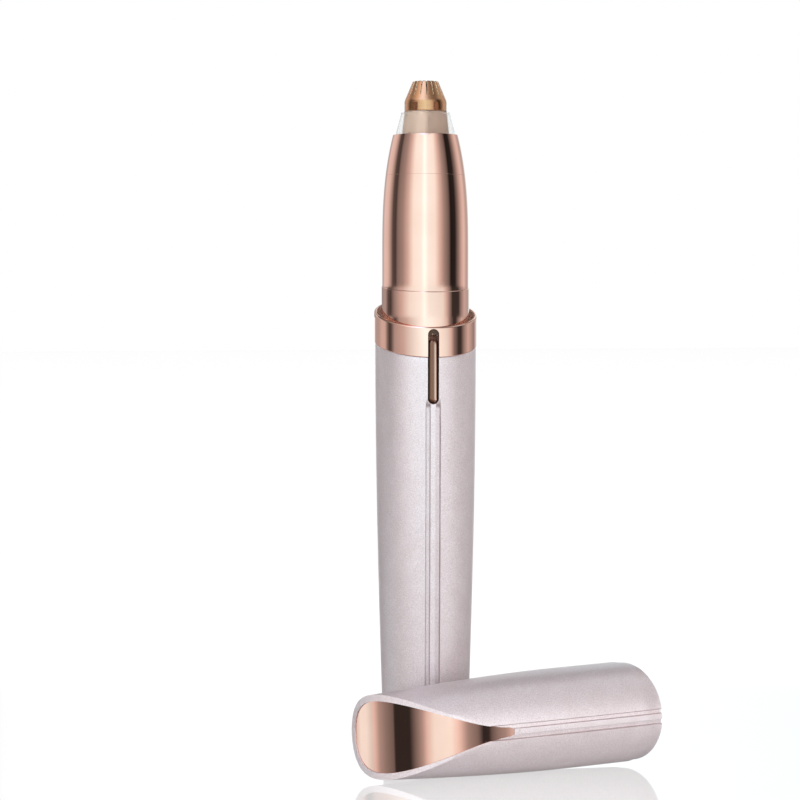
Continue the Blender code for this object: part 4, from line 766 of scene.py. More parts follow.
# %% Barrel
def pearl_barrel():
    top = COLLAR_Z - SEAM
    lip_z = top - BARREL_LIP
    rows = [(0, 0)] + corner(barrel_radius(FOOT_EDGE) - FOOT_EDGE, FOOT_EDGE, FOOT_EDGE, -90, 0, steps=10)
    for z in (spread(FOOT_EDGE, GROOVE_END[0], 40)[1:] + spread(*GROOVE_END, 16)[1:]
              + spread(GROOVE_END[1], lip_z, 10)[1:]):
        rows.append((barrel_radius(z), z, barrel_slope(z), 1.0))
    rows += corner(barrel_radius(top) - BARREL_LIP, lip_z, BARREL_LIP, 0, 90, barrel_slope(top))[1:]
    for z in spread(top, BARREL_FLOOR, 30):
        rows.append((barrel_radius(z) - BARREL_WALL, z, barrel_slope(z), 0))
    rows.append((0, BARREL_FLOOR))
    barrel = turned("pearl_barrel", rows, front_fine_turn(barrel_radius(FINE_TURN_Z)))
    run_nodes(barrel, GROOVE, Top_Height=GROOVE_TOP_Z, End_Softness=GROOVE_FADE, Paint=PEARL)
    # The slot's walls get the painted shade.
    subtract(barrel, lined(slot_shape("slot", SLOT_BACK), SLOT_SHADE))
    wear(bake(barrel), PEARL, "handle", "pearl_paint", "barrel_sleeve")


pearl_barrel()

# %% [markdown]
# ## Collar, neck ring, neck and nose
# These are four plated shells, one above the other. Their outlines are a handful of rows each. The
# collar's rim and the neck ring's top have a small chamfer, which draws the bright hairlines there, and
# the seams between the upper shells are nearly closed, as the photograph shows them.

# %% The collar's inner face
RECESS_GRAIN = 0.3 * MM
RECESS_RELIEF = 0.004 * MM


def satin_gold():
    """Inside the collar the plating is thin and the moulding is left dull, so it takes light like paint."""
    finish = Finish("satin_recess_gold", Roughness=0.50)
    grain = finish.noise(RECESS_GRAIN)
    finish.vary("Base Color", grain, "FAF0E6", "FCF4EC")
    finish.relief(grain, RECESS_RELIEF, 0.5)
    return finish.material


RECESS_GOLD = satin_gold()

# %% Gold shells
COLLAR_TOP_Z = 84.8 * MM
COLLAR_RADIUS = 9.7 * MM
COLLAR_RIM = 0.45 * MM
COLLAR_FLOOR_Z = 83.1 * MM
COLLAR_EDGE = 0.14 * MM
RIM_CHAMFER = 0.16 * MM
RECESS_REACH = 0.01 * MM
RECESS_DROP = 0.1 * MM
SHELL_BORE = 6.8 * MM
RING_TOP_Z = 89.72 * MM
RING_SLOPE = 0.12
RING_STEP = 0.10 * MM
RING_EDGE = 0.03 * MM
NECK_EDGE = 0.02 * MM
NOSE_BORE = 5.2 * MM
NOSE_FLOOR_Z = 115.5 * MM
NOSE_FLOOR_BORE = 4.6 * MM
NOSE_FLOOR_THICKNESS = 1.0 * MM


def neck_radius(z):
    share = max(z - NECK_BEND_Z, 0) / (NOSE_TOP_Z - NECK_BEND_Z)
    return NECK_RADIUS - (NECK_RADIUS - NOSE_TOP_RADIUS) * share ** NOSE_POWER


def gold_shell(shell, *nodes):
    wear(bake(shell), ROSE_GOLD, "drive_unit", "rose_gold", *nodes)


def gold_collar():
    rim = COLLAR_RADIUS - COLLAR_RIM
    outline = ((SHELL_BORE, COLLAR_Z), (COLLAR_RADIUS, COLLAR_Z),
               (COLLAR_RADIUS, COLLAR_TOP_Z - RIM_CHAMFER), (COLLAR_RADIUS - RIM_CHAMFER, COLLAR_TOP_Z),
               (rim, COLLAR_TOP_Z), (rim, COLLAR_FLOOR_Z), (SHELL_BORE, COLLAR_FLOOR_Z))
    rows = rounded([(radius, z, COLLAR_SLOPE) for radius, z in outline], COLLAR_EDGE)
    collar = lined(turned("gold_collar", rows, front_fine_turn(COLLAR_RADIUS)), ROSE_GOLD)
    # The slot's walls get painted shade, and its arch at the top gets a painted shadow.
    subtract(collar, lined(slot_shape("deep_slot", SLOT_BACK, SLOT_LIMIT_Z), SLOT_SHADE),
             lined(slot_shape("arch", ARCH_BACK), ARCH_SHADE))
    collar.data.materials.append(RECESS_GOLD)
    for face in collar.data.polygons:
        level = face.center.z - COLLAR_SLOPE * face.center.y
        inside = face.center.xy.length < rim + RECESS_REACH and level < COLLAR_TOP_Z - RECESS_DROP
        if inside and face.material_index == 0:
            face.material_index = len(collar.data.materials) - 1
    gold_shell(collar, "collar_cup")


def gold_neck_ring():
    foot = COLLAR_FLOOR_Z + SEAM
    radius = NECK_RADIUS + RING_STEP
    rows = [(SHELL_BORE, foot, COLLAR_SLOPE), (radius, foot, COLLAR_SLOPE),
            (radius, RING_TOP_Z - RING_STEP, RING_SLOPE), (NECK_RADIUS, RING_TOP_Z, RING_SLOPE),
            (SHELL_BORE, RING_TOP_Z, RING_SLOPE)]
    gold_shell(turned("gold_neck_ring", rounded(rows, RING_EDGE)), "neck_ring")


def gold_neck():
    heights = [RING_TOP_Z + SEAM] + spread(NECK_BEND_Z, NECK_TOP_Z, 30)
    slopes = [RING_SLOPE] + [0] * (len(heights) - 1)
    outside = [(neck_radius(z), z, slope) for z, slope in zip(heights, slopes)]
    inside = [(radius - NECK_WALL, z, slope) for radius, z, slope in outside]
    gold_shell(turned("gold_neck", rounded(outside + inside[::-1], NECK_EDGE)), "neck_sleeve")


def gold_nose():
    foot = NECK_TOP_Z + SEAM
    rows = [(neck_radius(z), z) for z in spread(foot, NOSE_TOP_Z, 24)]
    rows += [(NOSE_BORE, NOSE_TOP_Z), (NOSE_BORE, NOSE_FLOOR_Z), (NOSE_FLOOR_BORE, NOSE_FLOOR_Z),
             (NOSE_FLOOR_BORE, NOSE_FLOOR_Z - NOSE_FLOOR_THICKNESS),
             (neck_radius(NECK_TOP_Z) - NECK_WALL, foot)]
    gold_shell(turned("gold_nose", rounded(rows, NECK_EDGE)), "nose_cone")


gold_collar()
gold_neck_ring()
gold_neck()
gold_nose()

# %% [markdown]
# ## The clear ring and the tan core
# Lamps in the nose shine out through a clear ring. It is a thin-walled skirt with air inside, so the
# tan plastic core of the head shows through it at its true width.

# %% Clear ring and core
HEAD_FOOT_Z = NOSE_TOP_Z + SEAM
WINDOW_TOP_Z = 122.5 * MM
WINDOW_LIP = 0.2 * MM
WINDOW_WEB = 0.25 * MM
WINDOW_FOOT_RADIUS = 5.65 * MM
WINDOW_TOP_RADIUS = 4.5 * MM
WINDOW_WALL = 0.45 * MM
WINDOW_EDGE = 0.08 * MM
WINDOW_BORES = (4.10 * MM, 4.15 * MM)
BASE_FOOT_RADIUS = 4.45 * MM
BASE_TOP_Z = 122.65 * MM
BASE_EDGE = 0.06 * MM
GUARD_RADIUS = 4.0 * MM
CORE_RADII = (1.6 * MM, 2.6 * MM, 3.1 * MM)
CORE_HEIGHTS = (114.1 * MM, 121.8 * MM, 123.6 * MM)


def clear_ring():
    top, web = WINDOW_TOP_Z + WINDOW_LIP, WINDOW_TOP_Z - WINDOW_WEB
    rows = [(WINDOW_FOOT_RADIUS, HEAD_FOOT_Z), (WINDOW_TOP_RADIUS, top), (WINDOW_BORES[0], top),
            (WINDOW_BORES[1], web), (WINDOW_TOP_RADIUS - WINDOW_LIP, web),
            (WINDOW_FOOT_RADIUS - WINDOW_WALL, HEAD_FOOT_Z)]
    ring = turned("clear_ring", rounded(rows, WINDOW_EDGE))
    wear(bake(ring), CLEAR, "head", "clear_window", "light_window")


def tan_core():
    bore, hub, collar = CORE_RADII
    foot, seat, top = CORE_HEIGHTS
    rows = [(bore, foot), (hub, foot), (hub, HEAD_FOOT_Z), (BASE_FOOT_RADIUS, HEAD_FOOT_Z),
            (GUARD_RADIUS, BASE_TOP_Z), (collar, BASE_TOP_Z), (collar, top), (hub, top), (hub, seat),
            (bore, seat)]
    core = turned("tan_core", rounded(rows, BASE_EDGE))
    wear(bake(core), tan_plastic(), "head", "tan_plastic", "head_base")


clear_ring()
tan_core()

# %% [markdown]
# ## The slotted guard, with Geometry Nodes
# The guard is a gold cone with eighteen narrow slits that let hairs in to the cutter, and six shallow
# pockets round its foot. One slit is a slim wedge, because the saw that cuts it leaves it narrower at
# its end. The tree sets copies of it round the axis like spokes, does the same with a box for the
# pockets, and cuts both out of the cone. The counts, widths and heights are inputs of the tree.

# %% The guard's node tree
GUARD_COUNTS = (("Slit Count", 18), ("Pocket Count", 6))
GUARD_SIZES = (
    ("Slit Width", 0.34 * MM), ("Slit Bottom", 125.7 * MM), ("Slit Height", 3.2 * MM),
    ("Slit Inner Radius", 1.1 * MM), ("Slit Turn", math.radians(5)), ("Slit Taper", 0.35),
    ("Pocket Width", 1.1 * MM), ("Pocket Bottom", 122.4 * MM), ("Pocket Height", 1.9 * MM),
    ("Pocket Inner Radius", 3.8 * MM), ("Pocket Turn", math.radians(-9)), ("Pocket Taper", 1.0),
    ("Outer Radius", 5.0 * MM))


def guard_tree():
    tree, given = open_tree("slotted guard", GUARD_SIZES, GUARD_COUNTS)

    def worked(operation, one, other):
        return maths(tree, operation, one, other)

    def spokes(kind, paint):
        """Boxes set round the axis, each as wide at its foot as the taper says, and painted inside."""
        inner, width, height = [given[f"{kind} {size}"] for size in ("Inner Radius", "Width", "Height")]
        bottom, taper, count = [given[f"{kind} {size}"] for size in ("Bottom", "Taper", "Count")]
        size = joined(tree, X=worked("SUBTRACT", given["Outer Radius"], inner), Y=width, Z=height)
        box = add(tree, "GeometryNodeMeshCube", {"Size": size}).outputs["Mesh"]
        at = parts(tree, add(tree, "GeometryNodeInputPosition").outputs[0])
        foot = worked("LESS_THAN", at["Z"], 0.0)
        squeeze = worked("MULTIPLY", worked("MULTIPLY", at["Y"], foot), worked("SUBTRACT", taper, 1.0))
        wedge = add(tree, "GeometryNodeSetPosition", {"Geometry": box, "Offset": joined(tree, Y=squeeze)})
        shift = joined(tree, X=worked("MULTIPLY", worked("ADD", given["Outer Radius"], inner), 0.5),
                       Z=worked("ADD", bottom, worked("MULTIPLY", height, 0.5)))
        placed = add(tree, "GeometryNodeTransform", {"Geometry": wedge.outputs[0], "Translation": shift})
        points = add(tree, "GeometryNodePoints", {"Count": count}).outputs[0]
        index = add(tree, "GeometryNodeInputIndex").outputs[0]
        turn = worked("ADD", worked("MULTIPLY", index, worked("DIVIDE", 2 * math.pi, count)),
                      given[kind + " Turn"])
        copies = add(tree, "GeometryNodeInstanceOnPoints", {
            "Points": points, "Instance": painted(tree, placed.outputs[0], paint),
            "Rotation": joined(tree, Z=turn)})
        return add(tree, "GeometryNodeRealizeInstances", {"Geometry": copies.outputs[0]}).outputs[0]

    plated = painted(tree, given["Geometry"], given["Paint"])
    cut = add(tree, "GeometryNodeMeshBoolean", {"Mesh 1": plated}, operation="DIFFERENCE", solver="EXACT")
    # The slits' walls get a painted highlight, the pockets painted shade.
    for kind, paint in (("Slit", SLIT_HIGHLIGHT), ("Pocket", POCKET_SHADE)):
        tree.links.new(spokes(kind, paint), cut.inputs["Mesh 2"])
    return close_tree(tree, cut.outputs["Mesh"])


GUARD_TREE = guard_tree()

# %% The slotted guard
GUARD_Z = 122.8 * MM
GUARD_FOOT_Z = 122.7 * MM + SEAM
GUARD_TOP_Z = 128.4 * MM
GUARD_TOP_RADIUS = 2.4 * MM
GUARD_SKIRT = 1.8 * MM
GUARD_WALL = 0.5 * MM
GUARD_EDGE = 0.25 * MM
GUARD_STEPS = 144
SHOULDER_RADIUS = 2.4 * MM


def slotted_guard():
    cone_z = GUARD_Z + GUARD_SKIRT
    inner = GUARD_RADIUS - GUARD_WALL
    ceiling = GUARD_TOP_Z - GUARD_WALL
    rows = [(inner, GUARD_FOOT_Z), (GUARD_RADIUS, GUARD_FOOT_Z)]
    lean = math.atan((GUARD_RADIUS - GUARD_TOP_RADIUS) / (GUARD_TOP_Z - cone_z))
    start = cone_z - SHOULDER_RADIUS * math.tan(lean / 2)
    for angle in spread(0, lean, 8):
        rows.append((GUARD_RADIUS - SHOULDER_RADIUS * (1 - math.cos(angle)),
                     start + SHOULDER_RADIUS * math.sin(angle)))
    rows += [(GUARD_TOP_RADIUS, GUARD_TOP_Z), (0, GUARD_TOP_Z), (0, ceiling),
             (GUARD_TOP_RADIUS - GUARD_WALL, ceiling), (inner, cone_z)]
    angles = [2 * math.pi * step / GUARD_STEPS for step in range(GUARD_STEPS)]
    guard = turned("slotted_guard", rounded(rows, GUARD_EDGE, 6), angles)
    run_nodes(guard, GUARD_TREE, Paint=HEAD_GOLD)
    wear(bake(guard), HEAD_GOLD, "head", "head_gold", "head_guard")


slotted_guard()

# %% [markdown]
# ## The switch bar
# A slim bar with round ends sits in the slot, its face rounded from side to side like half a rod. It is
# lofted through outlines that grow from the middle of its face to its full width. It is brown, with a
# light stripe along one side, which is a reflection. The reflection boards here are too coarse for a bar
# this narrow, so the stripe is a painted reflection across its plating, and its dark edges are painted
# shade.

# %% The bar's plating, with a painted reflection and painted shade
BAR_WIDTH = 1.96 * MM
BAR_WIPE_SIZE = 0.4 * MM
BAR_RIPPLE = 0.0004 * MM
BAR_ACROSS = (math.cos(TRIMMER_TURN), math.sin(TRIMMER_TURN), 0.0)
# Tones across the bar: painted shade at its edges and a painted reflection as a light stripe.
BAR_PAINTED_LIGHT = ((0.0, "5E4034"), (0.12, "5A3C2E"), (0.26, "765040"), (0.50, "785242"), (0.60, "A27C6C"),
             (0.69, "E4BAAA"), (0.77, "C09484"), (0.87, "886252"), (1.0, "6E4C3E"))


def painted_reflection_plating():
    """Brown gold plating, with a painted reflection along one side of the rounded face and painted shade at
    its edges.
    """
    gold = Finish("brown_gold_painted_reflection", Metallic=1.0)
    across = along(gold.tree, gold.place, BAR_ACROSS)
    share = between(gold.tree, across, 0.0, 1.0, (-BAR_WIDTH / 2, BAR_WIDTH / 2))
    gold.drive("Base Color", ramp(gold.tree, share, [(place, linear(tone)) for place, tone in BAR_PAINTED_LIGHT]))
    wipes = gold.noise(BAR_WIPE_SIZE, 3.0)
    gold.vary("Roughness", wipes, 0.16, 0.26)
    gold.relief(wipes, BAR_RIPPLE, 0.5)
    return gold.material


SWITCH_GOLD = painted_reflection_plating()

# %% Switch bar
BAR_BOTTOM_Z = 67.9 * MM
BAR_TOP_Z = 79.85 * MM
BAR_DEPTH = 0.9 * MM
BAR_FACE_SINK = 0.05 * MM
BAR_CROWN = 0.55 * MM
BAR_ROUNDING = 0.85


def switch_button():
    half = BAR_WIDTH / 2
    face_y = BAR_FACE_SINK - barrel_radius(SLOT_BOTTOM_Z)
    loops = []
    for angle in spread(0, math.pi / 2, 9):
        size = half * (1 - BAR_ROUNDING * (1 - math.sin(angle)))
        loops.append((size, face_y + BAR_CROWN * (1 - math.cos(angle))))
    loops.append((half, face_y + BAR_DEPTH))
    bar = [stadium(size, y, BAR_BOTTOM_Z, BAR_TOP_Z, half, 17) for size, y in loops]
    wear(bake(lofted("switch_button", bar)), SWITCH_GOLD, "switch", "rose_gold", "switch_bar")


switch_button()

# %% [markdown]
# ## The cap
# The cap has a frame of its own, with its mouth at the bottom and its tip up. It is turned as the
# barrel is, gets the same groove, and is then cut by the scoop, whose side view is a quarter of a
# superellipse, and by the pocket that holds the gold inlay. Last it is laid on its side.

# %% Cap sizes and rules
CAP_LENGTH = 53.0 * MM
CAP_TIP_RADIUS = 7.6 * MM
CAP_MOUTH_RADIUS = 9.35 * MM
CAP_SWELL_LENGTH = 41.0 * MM
CAP_LIP_HEIGHT = 1.6 * MM
CAP_LIP_RADIUS = 9.125 * MM
CAP_LIP_RISE = 0.2 * MM
CAP_MOUTH_Z = 83.4 * MM
CAP_CLEARANCE = 0.25 * MM
CAP_END_Z = 129.0 * MM
CAP_END_CHAMFER = 1.5 * MM
CAP_FINE_FROM = 29.0 * MM
CAP_TURN_RADIUS = 9 * MM
CAP_TURN_STEPS = 140
CAP_GROOVE_TOP = 33.0 * MM
CAP_GROOVE_FADE = 1.0 * MM
CAP_TILT = math.radians(1.9)
CAP_ASIDE = (32.3 * MM, -20.1 * MM)
SCOOP_BACK = 7.2 * MM
SCOOP_REACH = 8.9 * MM
SCOOP_DEPTH = 26.0 * MM
SCOOP_POWER = 2.3
SCOOP_STEPS = 72
SCOOP_BEYOND = 2 * MM
INLAY_MARGIN = 1.2 * MM
INLAY_SINK = 0.2 * MM
INLAY_THICKNESS = 0.4 * MM
INLAY_TAIL_DEPTH = 25.0 * MM
INLAY_TAIL_WIDTH = 1.0 * MM
INLAY_TAPER = 0.55
INLAY_TAPER_LENGTH = 3.5 * MM
INLAY_REAR_ANGLE = math.radians(14)
PLATE_COLUMNS = 13
POCKET_OPEN = 2.0 * MM


def cap_radius(height):
    rise = CAP_MOUTH_RADIUS - CAP_TIP_RADIUS
    return CAP_TIP_RADIUS + rise * swell((CAP_LENGTH - height) / CAP_SWELL_LENGTH)


def cap_slope(height):
    return COLLAR_SLOPE * max(1 - height / CAP_LENGTH, 0) ** SLOPE_FADE


def cap_place():
    """Lays the cap on its side, with its tip towards -X, resting on the floor."""
    heights = spread(0, CAP_LENGTH, 32)
    rise = max(cap_radius(z) * math.cos(CAP_TILT) + z * math.sin(CAP_TILT) for z in heights)
    return Matrix.Translation((*CAP_ASIDE, rise)) @ Matrix.Rotation(-(math.pi / 2 + CAP_TILT), 4, "Y")


IN_CAP = cap_place()


def scoop_point(turn):
    """Point (y, z) of the scoop's side view; turn goes from 90 degrees at the tip to 0 at the tail."""
    reach = (SCOOP_BACK + SCOOP_REACH) * abs(math.cos(turn)) ** (2 / SCOOP_POWER)
    depth = SCOOP_DEPTH * (1 - abs(math.sin(turn)) ** (2 / SCOOP_POWER))
    return Vector((SCOOP_BACK - reach, CAP_LENGTH - depth))


def scoop_turn(y):
    """The turn at which the scoop passes a place in y."""
    return math.acos(((SCOOP_BACK - y) / (SCOOP_BACK + SCOOP_REACH)) ** (SCOOP_POWER / 2))


def inlay_half(point, margin, tail_z, tail_half):
    """Half the inlay's width where the scoop passes this point. In front it narrows towards the tail."""
    outer = cap_radius(point.y)
    if point.x > 0:
        return math.sqrt((outer - margin) ** 2 - point.x ** 2)
    near_tail = 1 - min(max(point.y - tail_z, 0) / INLAY_TAPER_LENGTH, 1)
    narrow = (1 - margin / outer) * (1 - (1 - INLAY_TAPER) * near_tail)
    return max(math.sqrt(max(outer ** 2 - point.x ** 2, 0)) * narrow, tail_half)


def inlay_rows(margin, sink, thickness, extra=0.0):
    """Rows of half width, outer point and inner point of a plate that follows the scoop."""
    path = []
    tail_z = CAP_LENGTH - INLAY_TAIL_DEPTH - extra
    tail_half = (INLAY_TAIL_WIDTH + extra) / 2
    rear = scoop_turn((CAP_TIP_RADIUS - margin) * math.cos(INLAY_REAR_ANGLE))
    for turn in spread(rear, 0, SCOOP_STEPS):
        point = scoop_point(turn)
        if point.y <= tail_z:
            last = path[-1][1]
            path.append((tail_half, last.lerp(point, (last.y - tail_z) / (last.y - point.y))))
            break
        path.append((inlay_half(point, margin, tail_z, tail_half), point))
    rows = []
    for index, (half, point) in enumerate(path):
        ahead = path[min(index + 1, len(path) - 1)][1]
        behind = path[max(index - 1, 0)][1]
        along_path = (ahead - behind).normalized()
        normal = Vector((along_path.y, -along_path.x))
        rows.append((half, point - normal * sink, point - normal * (sink + thickness)))
    return rows


def plate(name, rows):
    """A closed plate from such rows."""
    loops = []
    for half, outer, inner in rows:
        loops.append([(x, outer.x, outer.y) for x in spread(-half, half, PLATE_COLUMNS)]
                     + [(x, inner.x, inner.y) for x in spread(half, -half, PLATE_COLUMNS)])
    return lofted(name, loops)


# %% Cap shell
def cap_inside():
    """Rows of the cavity from the mouth to its end; it follows the neck, the nose and the head."""
    mouth = NECK_RADIUS + CAP_CLEARANCE
    head = GUARD_RADIUS + CAP_CLEARANCE
    end = CAP_END_Z - CAP_MOUTH_Z
    rows = [(mouth, 0, COLLAR_SLOPE), (mouth, NECK_BEND_Z - CAP_MOUTH_Z)]
    for z in spread(NECK_BEND_Z, NOSE_TOP_Z, 16)[1:]:
        rows.append((neck_radius(z) + CAP_CLEARANCE, z - CAP_MOUTH_Z))
    return rows + [(head, GUARD_Z - CAP_MOUTH_Z), (head, end - CAP_END_CHAMFER),
                   (head - CAP_END_CHAMFER, end), (0, end)]


def scoop_cutter():
    """Everything that the scoop takes away, as wide as the cap and a little more."""
    beyond = CAP_MOUTH_RADIUS + SCOOP_BEYOND
    above = CAP_LENGTH + SCOOP_BEYOND
    outline = [tuple(scoop_point(turn)) for turn in spread(math.pi / 2, 0, SCOOP_STEPS)]
    outline += [(-beyond, CAP_LENGTH - SCOOP_DEPTH), (-beyond, above), (SCOOP_BACK, above)]
    return lofted("scoop", [[(x, y, z) for y, z in outline] for x in (-beyond, beyond)])


def pearl_cap():
    rows = [(CAP_LIP_RADIUS, z, COLLAR_SLOPE, 1.0) for z in (0, CAP_LIP_HEIGHT)]
    for z in (spread(CAP_LIP_HEIGHT + CAP_LIP_RISE, CAP_FINE_FROM, 22)
              + spread(CAP_FINE_FROM, CAP_LENGTH, 30)[1:]):
        rows.append((cap_radius(z), z, cap_slope(z), 1.0))
    rows.append((0, CAP_LENGTH))
    cap = turned("pearl_cap", rows + cap_inside()[::-1], front_fine_turn(CAP_TURN_RADIUS, CAP_TURN_STEPS))
    run_nodes(cap, GROOVE, Top_Height=CAP_GROOVE_TOP, End_Softness=CAP_GROOVE_FADE, Paint=CAP_PEARL_LIT)
    depth = INLAY_SINK + INLAY_THICKNESS + SEAM
    pocket = plate("pocket", inlay_rows(INLAY_MARGIN - SEAM, -POCKET_OPEN, POCKET_OPEN + depth, SEAM))
    subtract(cap, lined(scoop_cutter(), CAP_PEARL_LIT), lined(pocket, CAP_PEARL_LIT))
    wear(bake(cap, IN_CAP), CAP_PEARL_LIT, "cap", "pearl_paint", "cap_shell")


pearl_cap()

# %% Cap inlay
inlay = plate("gold_inlay", inlay_rows(INLAY_MARGIN, INLAY_SINK, INLAY_THICKNESS))
wear(bake(inlay, IN_CAP), ROSE_GOLD, "cap", "rose_gold", "cap_inlay")

# %% [markdown]
# ## Finishes for the pieces inside
# The CAD pieces inside the barrel already have the right shape. They show when the drive unit is
# pulled out, so each gets its own finish.

# %% Inner pieces
INNER_FINISHES = (
    (WHITE, ("chassis_front", "chassis_rear", "drive_dog", "lamp_1", "lamp_2", "lamp_3", "lamp_4")),
    (FOAM, ("battery_pad",)),
    (RUBBER, ("spigot_seal", "motor_grommet")),
    (NICKEL, ("chassis_screw_lower", "chassis_screw_upper", "contact_plate", "contact_strip",
              "contact_spring", "slide_switch", "cutter_spring")),
    (BATTERY_STEEL, ("battery_cell",)),
    (GREY_WRAP, ("battery_wrap",)),
    (GREY_PLASTIC, ("motor_end_cap",)),
    (BLACK, ("driver_chip", "lead_black", "switch_carriage", "cutter_hub")),
    (RED_WIRE, ("lead_red",)),
    (MOTOR_STEEL, ("motor_can", "motor_shaft", "cutter_spindle")),
    (BLADE_STEEL, ("cutter_blades",)),
    (ALUMINIUM, ("capacitor",)),
    (BRASS, ("head_bearing",)),
    (TINNED, ("motor_terminal_left", "motor_terminal_right")),
    (BOARD, ("circuit_board", "lamp_board")),
    (RIBBON, ("lamp_ribbon",)),
)
for material, nodes in INNER_FINISHES:
    for node in nodes:
        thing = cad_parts[node]
        thing.data.materials.clear()
        thing.data.materials.append(material)
print("finished", sum(len(nodes) for _, nodes in INNER_FINISHES), "inner pieces")

# %% [markdown]
# ## Floor and background
# The photograph's background is plain white. The camera sees a floor that gives its own white light,
# with a share of mirror in it for the faint reflection and a trace of plain paint for the shadow.
# Every other ray meets a white floor, more matt than mirror, that glows to rays through glass.

# %% Floor
WHITE_LIGHT = (1.0, 1.0, 1.0, 1.0)
FLOOR_SHINE = 0.45
FLOOR_SHADE = 0.04
FLOOR_LIGHT = 1.08
FLOOR_POLISH = 0.06
BOUNCE_SHINE = 0.40
FLOOR_GRAIN = 40 * MM
FLOOR_REACH = 6.0
FLOOR_DROP = 0.02 * MM
GLOW_NEAR = 120 * MM
GLOW_FAR = 600 * MM


def bare_material(name):
    """A material with an empty node tree, and that tree."""
    material = bpy.data.materials.new(name)
    material.use_nodes = True
    material.node_tree.nodes.clear()
    return material, material.node_tree


def emission(tree, strength, colour=WHITE_LIGHT):
    return add(tree, "ShaderNodeEmission", {"Color": colour, "Strength": strength}).outputs[0]


def mixed(tree, share, one, other):
    """Two shaders in one, with this share of the second."""
    return add(tree, "ShaderNodeMixShader", {0: share, 1: one, 2: other}).outputs[0]


def looked_at(tree):
    """1 for the camera's rays, and 1 for its rays and for those through mirrors and glass."""
    rays = add(tree, "ShaderNodeLightPath").outputs
    seen = maths(tree, "ADD", rays["Is Camera Ray"], rays["Is Glossy Ray"])
    return rays["Is Camera Ray"], maths(tree, "ADD", seen, rays["Is Transmission Ray"], clamp=True)


def floor_material():
    material, tree = bare_material("white_floor")
    place = add(tree, "ShaderNodeTexCoord").outputs["Object"]
    camera_ray, seen = looked_at(tree)
    grain = add(tree, "ShaderNodeTexNoise", {"Vector": place, "Scale": 1 / FLOOR_GRAIN, "Detail": 2.0})
    white = between(tree, grain.outputs["Fac"], "F6F6F6", "FAFAFA", (0.4, 0.6))
    dull = add(tree, "ShaderNodeBsdfDiffuse", {"Color": white}).outputs[0]
    shine = add(tree, "ShaderNodeBsdfGlossy", {"Color": WHITE_LIGHT, "Roughness": FLOOR_POLISH}).outputs[0]
    gleam = mixed(tree, FLOOR_SHINE, emission(tree, FLOOR_LIGHT), shine)
    reach = add(tree, "ShaderNodeVectorMath", {0: place}, operation="LENGTH").outputs["Value"]
    level = add(tree, "ShaderNodeMapRange", {
        "Value": reach, "From Min": GLOW_NEAR, "From Max": GLOW_FAR, "To Min": 0.30, "To Max": 1.0},
        interpolation_type="SMOOTHSTEP").outputs[0]
    glow = emission(tree, maths(tree, "MULTIPLY", seen, level))
    bounce = add(tree, "ShaderNodeAddShader", {0: mixed(tree, BOUNCE_SHINE, dull, shine), 1: glow})
    for_camera = mixed(tree, FLOOR_SHADE, gleam, dull)
    surface = mixed(tree, camera_ray, bounce.outputs[0], for_camera)
    add(tree, "ShaderNodeOutputMaterial", {"Surface": surface})
    return material


floor_mesh = bmesh.new()
bmesh.ops.create_grid(floor_mesh, x_segments=8, y_segments=8, size=FLOOR_REACH)
floor = new_piece("floor", floor_mesh)
floor.location.z = -FLOOR_DROP
floor.data.materials.append(floor_material())
floor.visible_glossy = False
print("floor ready")

# %% [markdown]
# ## Reflection boards
# Rose gold has no look of its own: it shows what stands round it. A product photographer would stand
# white, grey and black boards round the trimmer until the metal shows clean upright bands. Here the
# boards are seven bands of a drum, one above the other, with a ceiling and a pit, seen only by mirrors.
# A table gives how bright a band is at each bearing from the camera. The lowest ones serve the cap,
# which lies below the camera. The brightest boards are slightly blue, because plain white light would
# leave the gold's highlights too pink.

# %% Reflection boards
def board_material(name, stops):
    """Light that depends on the bearing round the axis, from stops of degrees, strength and colour."""
    material, tree = bare_material(name)
    place = add(tree, "ShaderNodeTexCoord").outputs["Object"]
    bearing = maths(tree, "ARCTAN2", along(tree, place, CAMERA_RIGHT), along(tree, place, CAMERA_WARD))
    colours = []
    for degrees, strength, tint in [(*stop, PLAIN)[:3] for stop in stops]:
        colours.append(((degrees + 180) / 360, [c * strength for c in linear(tint)[:3]] + [1.0]))
    colour = ramp(tree, between(tree, bearing, 0.0, 1.0, (-math.pi, math.pi)), colours)
    add(tree, "ShaderNodeOutputMaterial", {"Surface": emission(tree, 1.0, colour)})
    return material


def drum(name, rims, stops):
    """A band round the object, between two rims of (radius, height) in mm, that only mirrors see."""
    bm = bmesh.new()
    bridge(bm, [[bm.verts.new(Vector((radius * math.cos(angle), radius * math.sin(angle), z)) * MM)
                 for angle in EVEN_TURN] for radius, z in rims])
    board = new_piece(name, bm)
    board.data.materials.append(board_material(name + "_light", stops))
    for kind in ("camera", "diffuse", "shadow", "transmission"):
        setattr(board, "visible_" + kind, False)


PLAIN = "FFFFFF"
COOL = "D8F8FF"
PALE = "E2FBFF"
BLUE = "BED8FF"
NECK_STOPS = (
    (-180, 0.50), (-152, 0.60), (-138, 0.95), (-120, 0.90), (-110, 0.62), (-97, 0.12), (-86, 0.08),
    (-79, 0.28), (-62, 0.44), (-48, 0.80), (-32, 1.62, PALE), (-12, 1.85, COOL), (-3, 2.3, COOL),
    (8, 1.80, COOL), (25, 1.62, PALE), (38, 0.88), (50, 0.45), (64, 0.20), (70, 0.02), (85, 0.03),
    (97, 0.30), (112, 0.78), (122, 0.95), (138, 0.58), (148, 0.60), (162, 1.35, PALE), (180, 1.10))
RING_STOPS = (
    (-180, 0.25), (-160, 0.38), (-130, 0.50), (-115, 0.12), (-103, 0.08), (-90, 0.36), (-64, 0.80),
    (-42, 1.50, PALE), (-12, 1.85, COOL), (-3, 2.2, COOL), (8, 1.75, COOL), (46, 1.42, PALE),
    (56, 0.82), (66, 0.35), (74, 0.05), (96, 0.05), (106, 0.34), (122, 0.70), (146, 0.52),
    (160, 1.20, PALE), (180, 1.00))
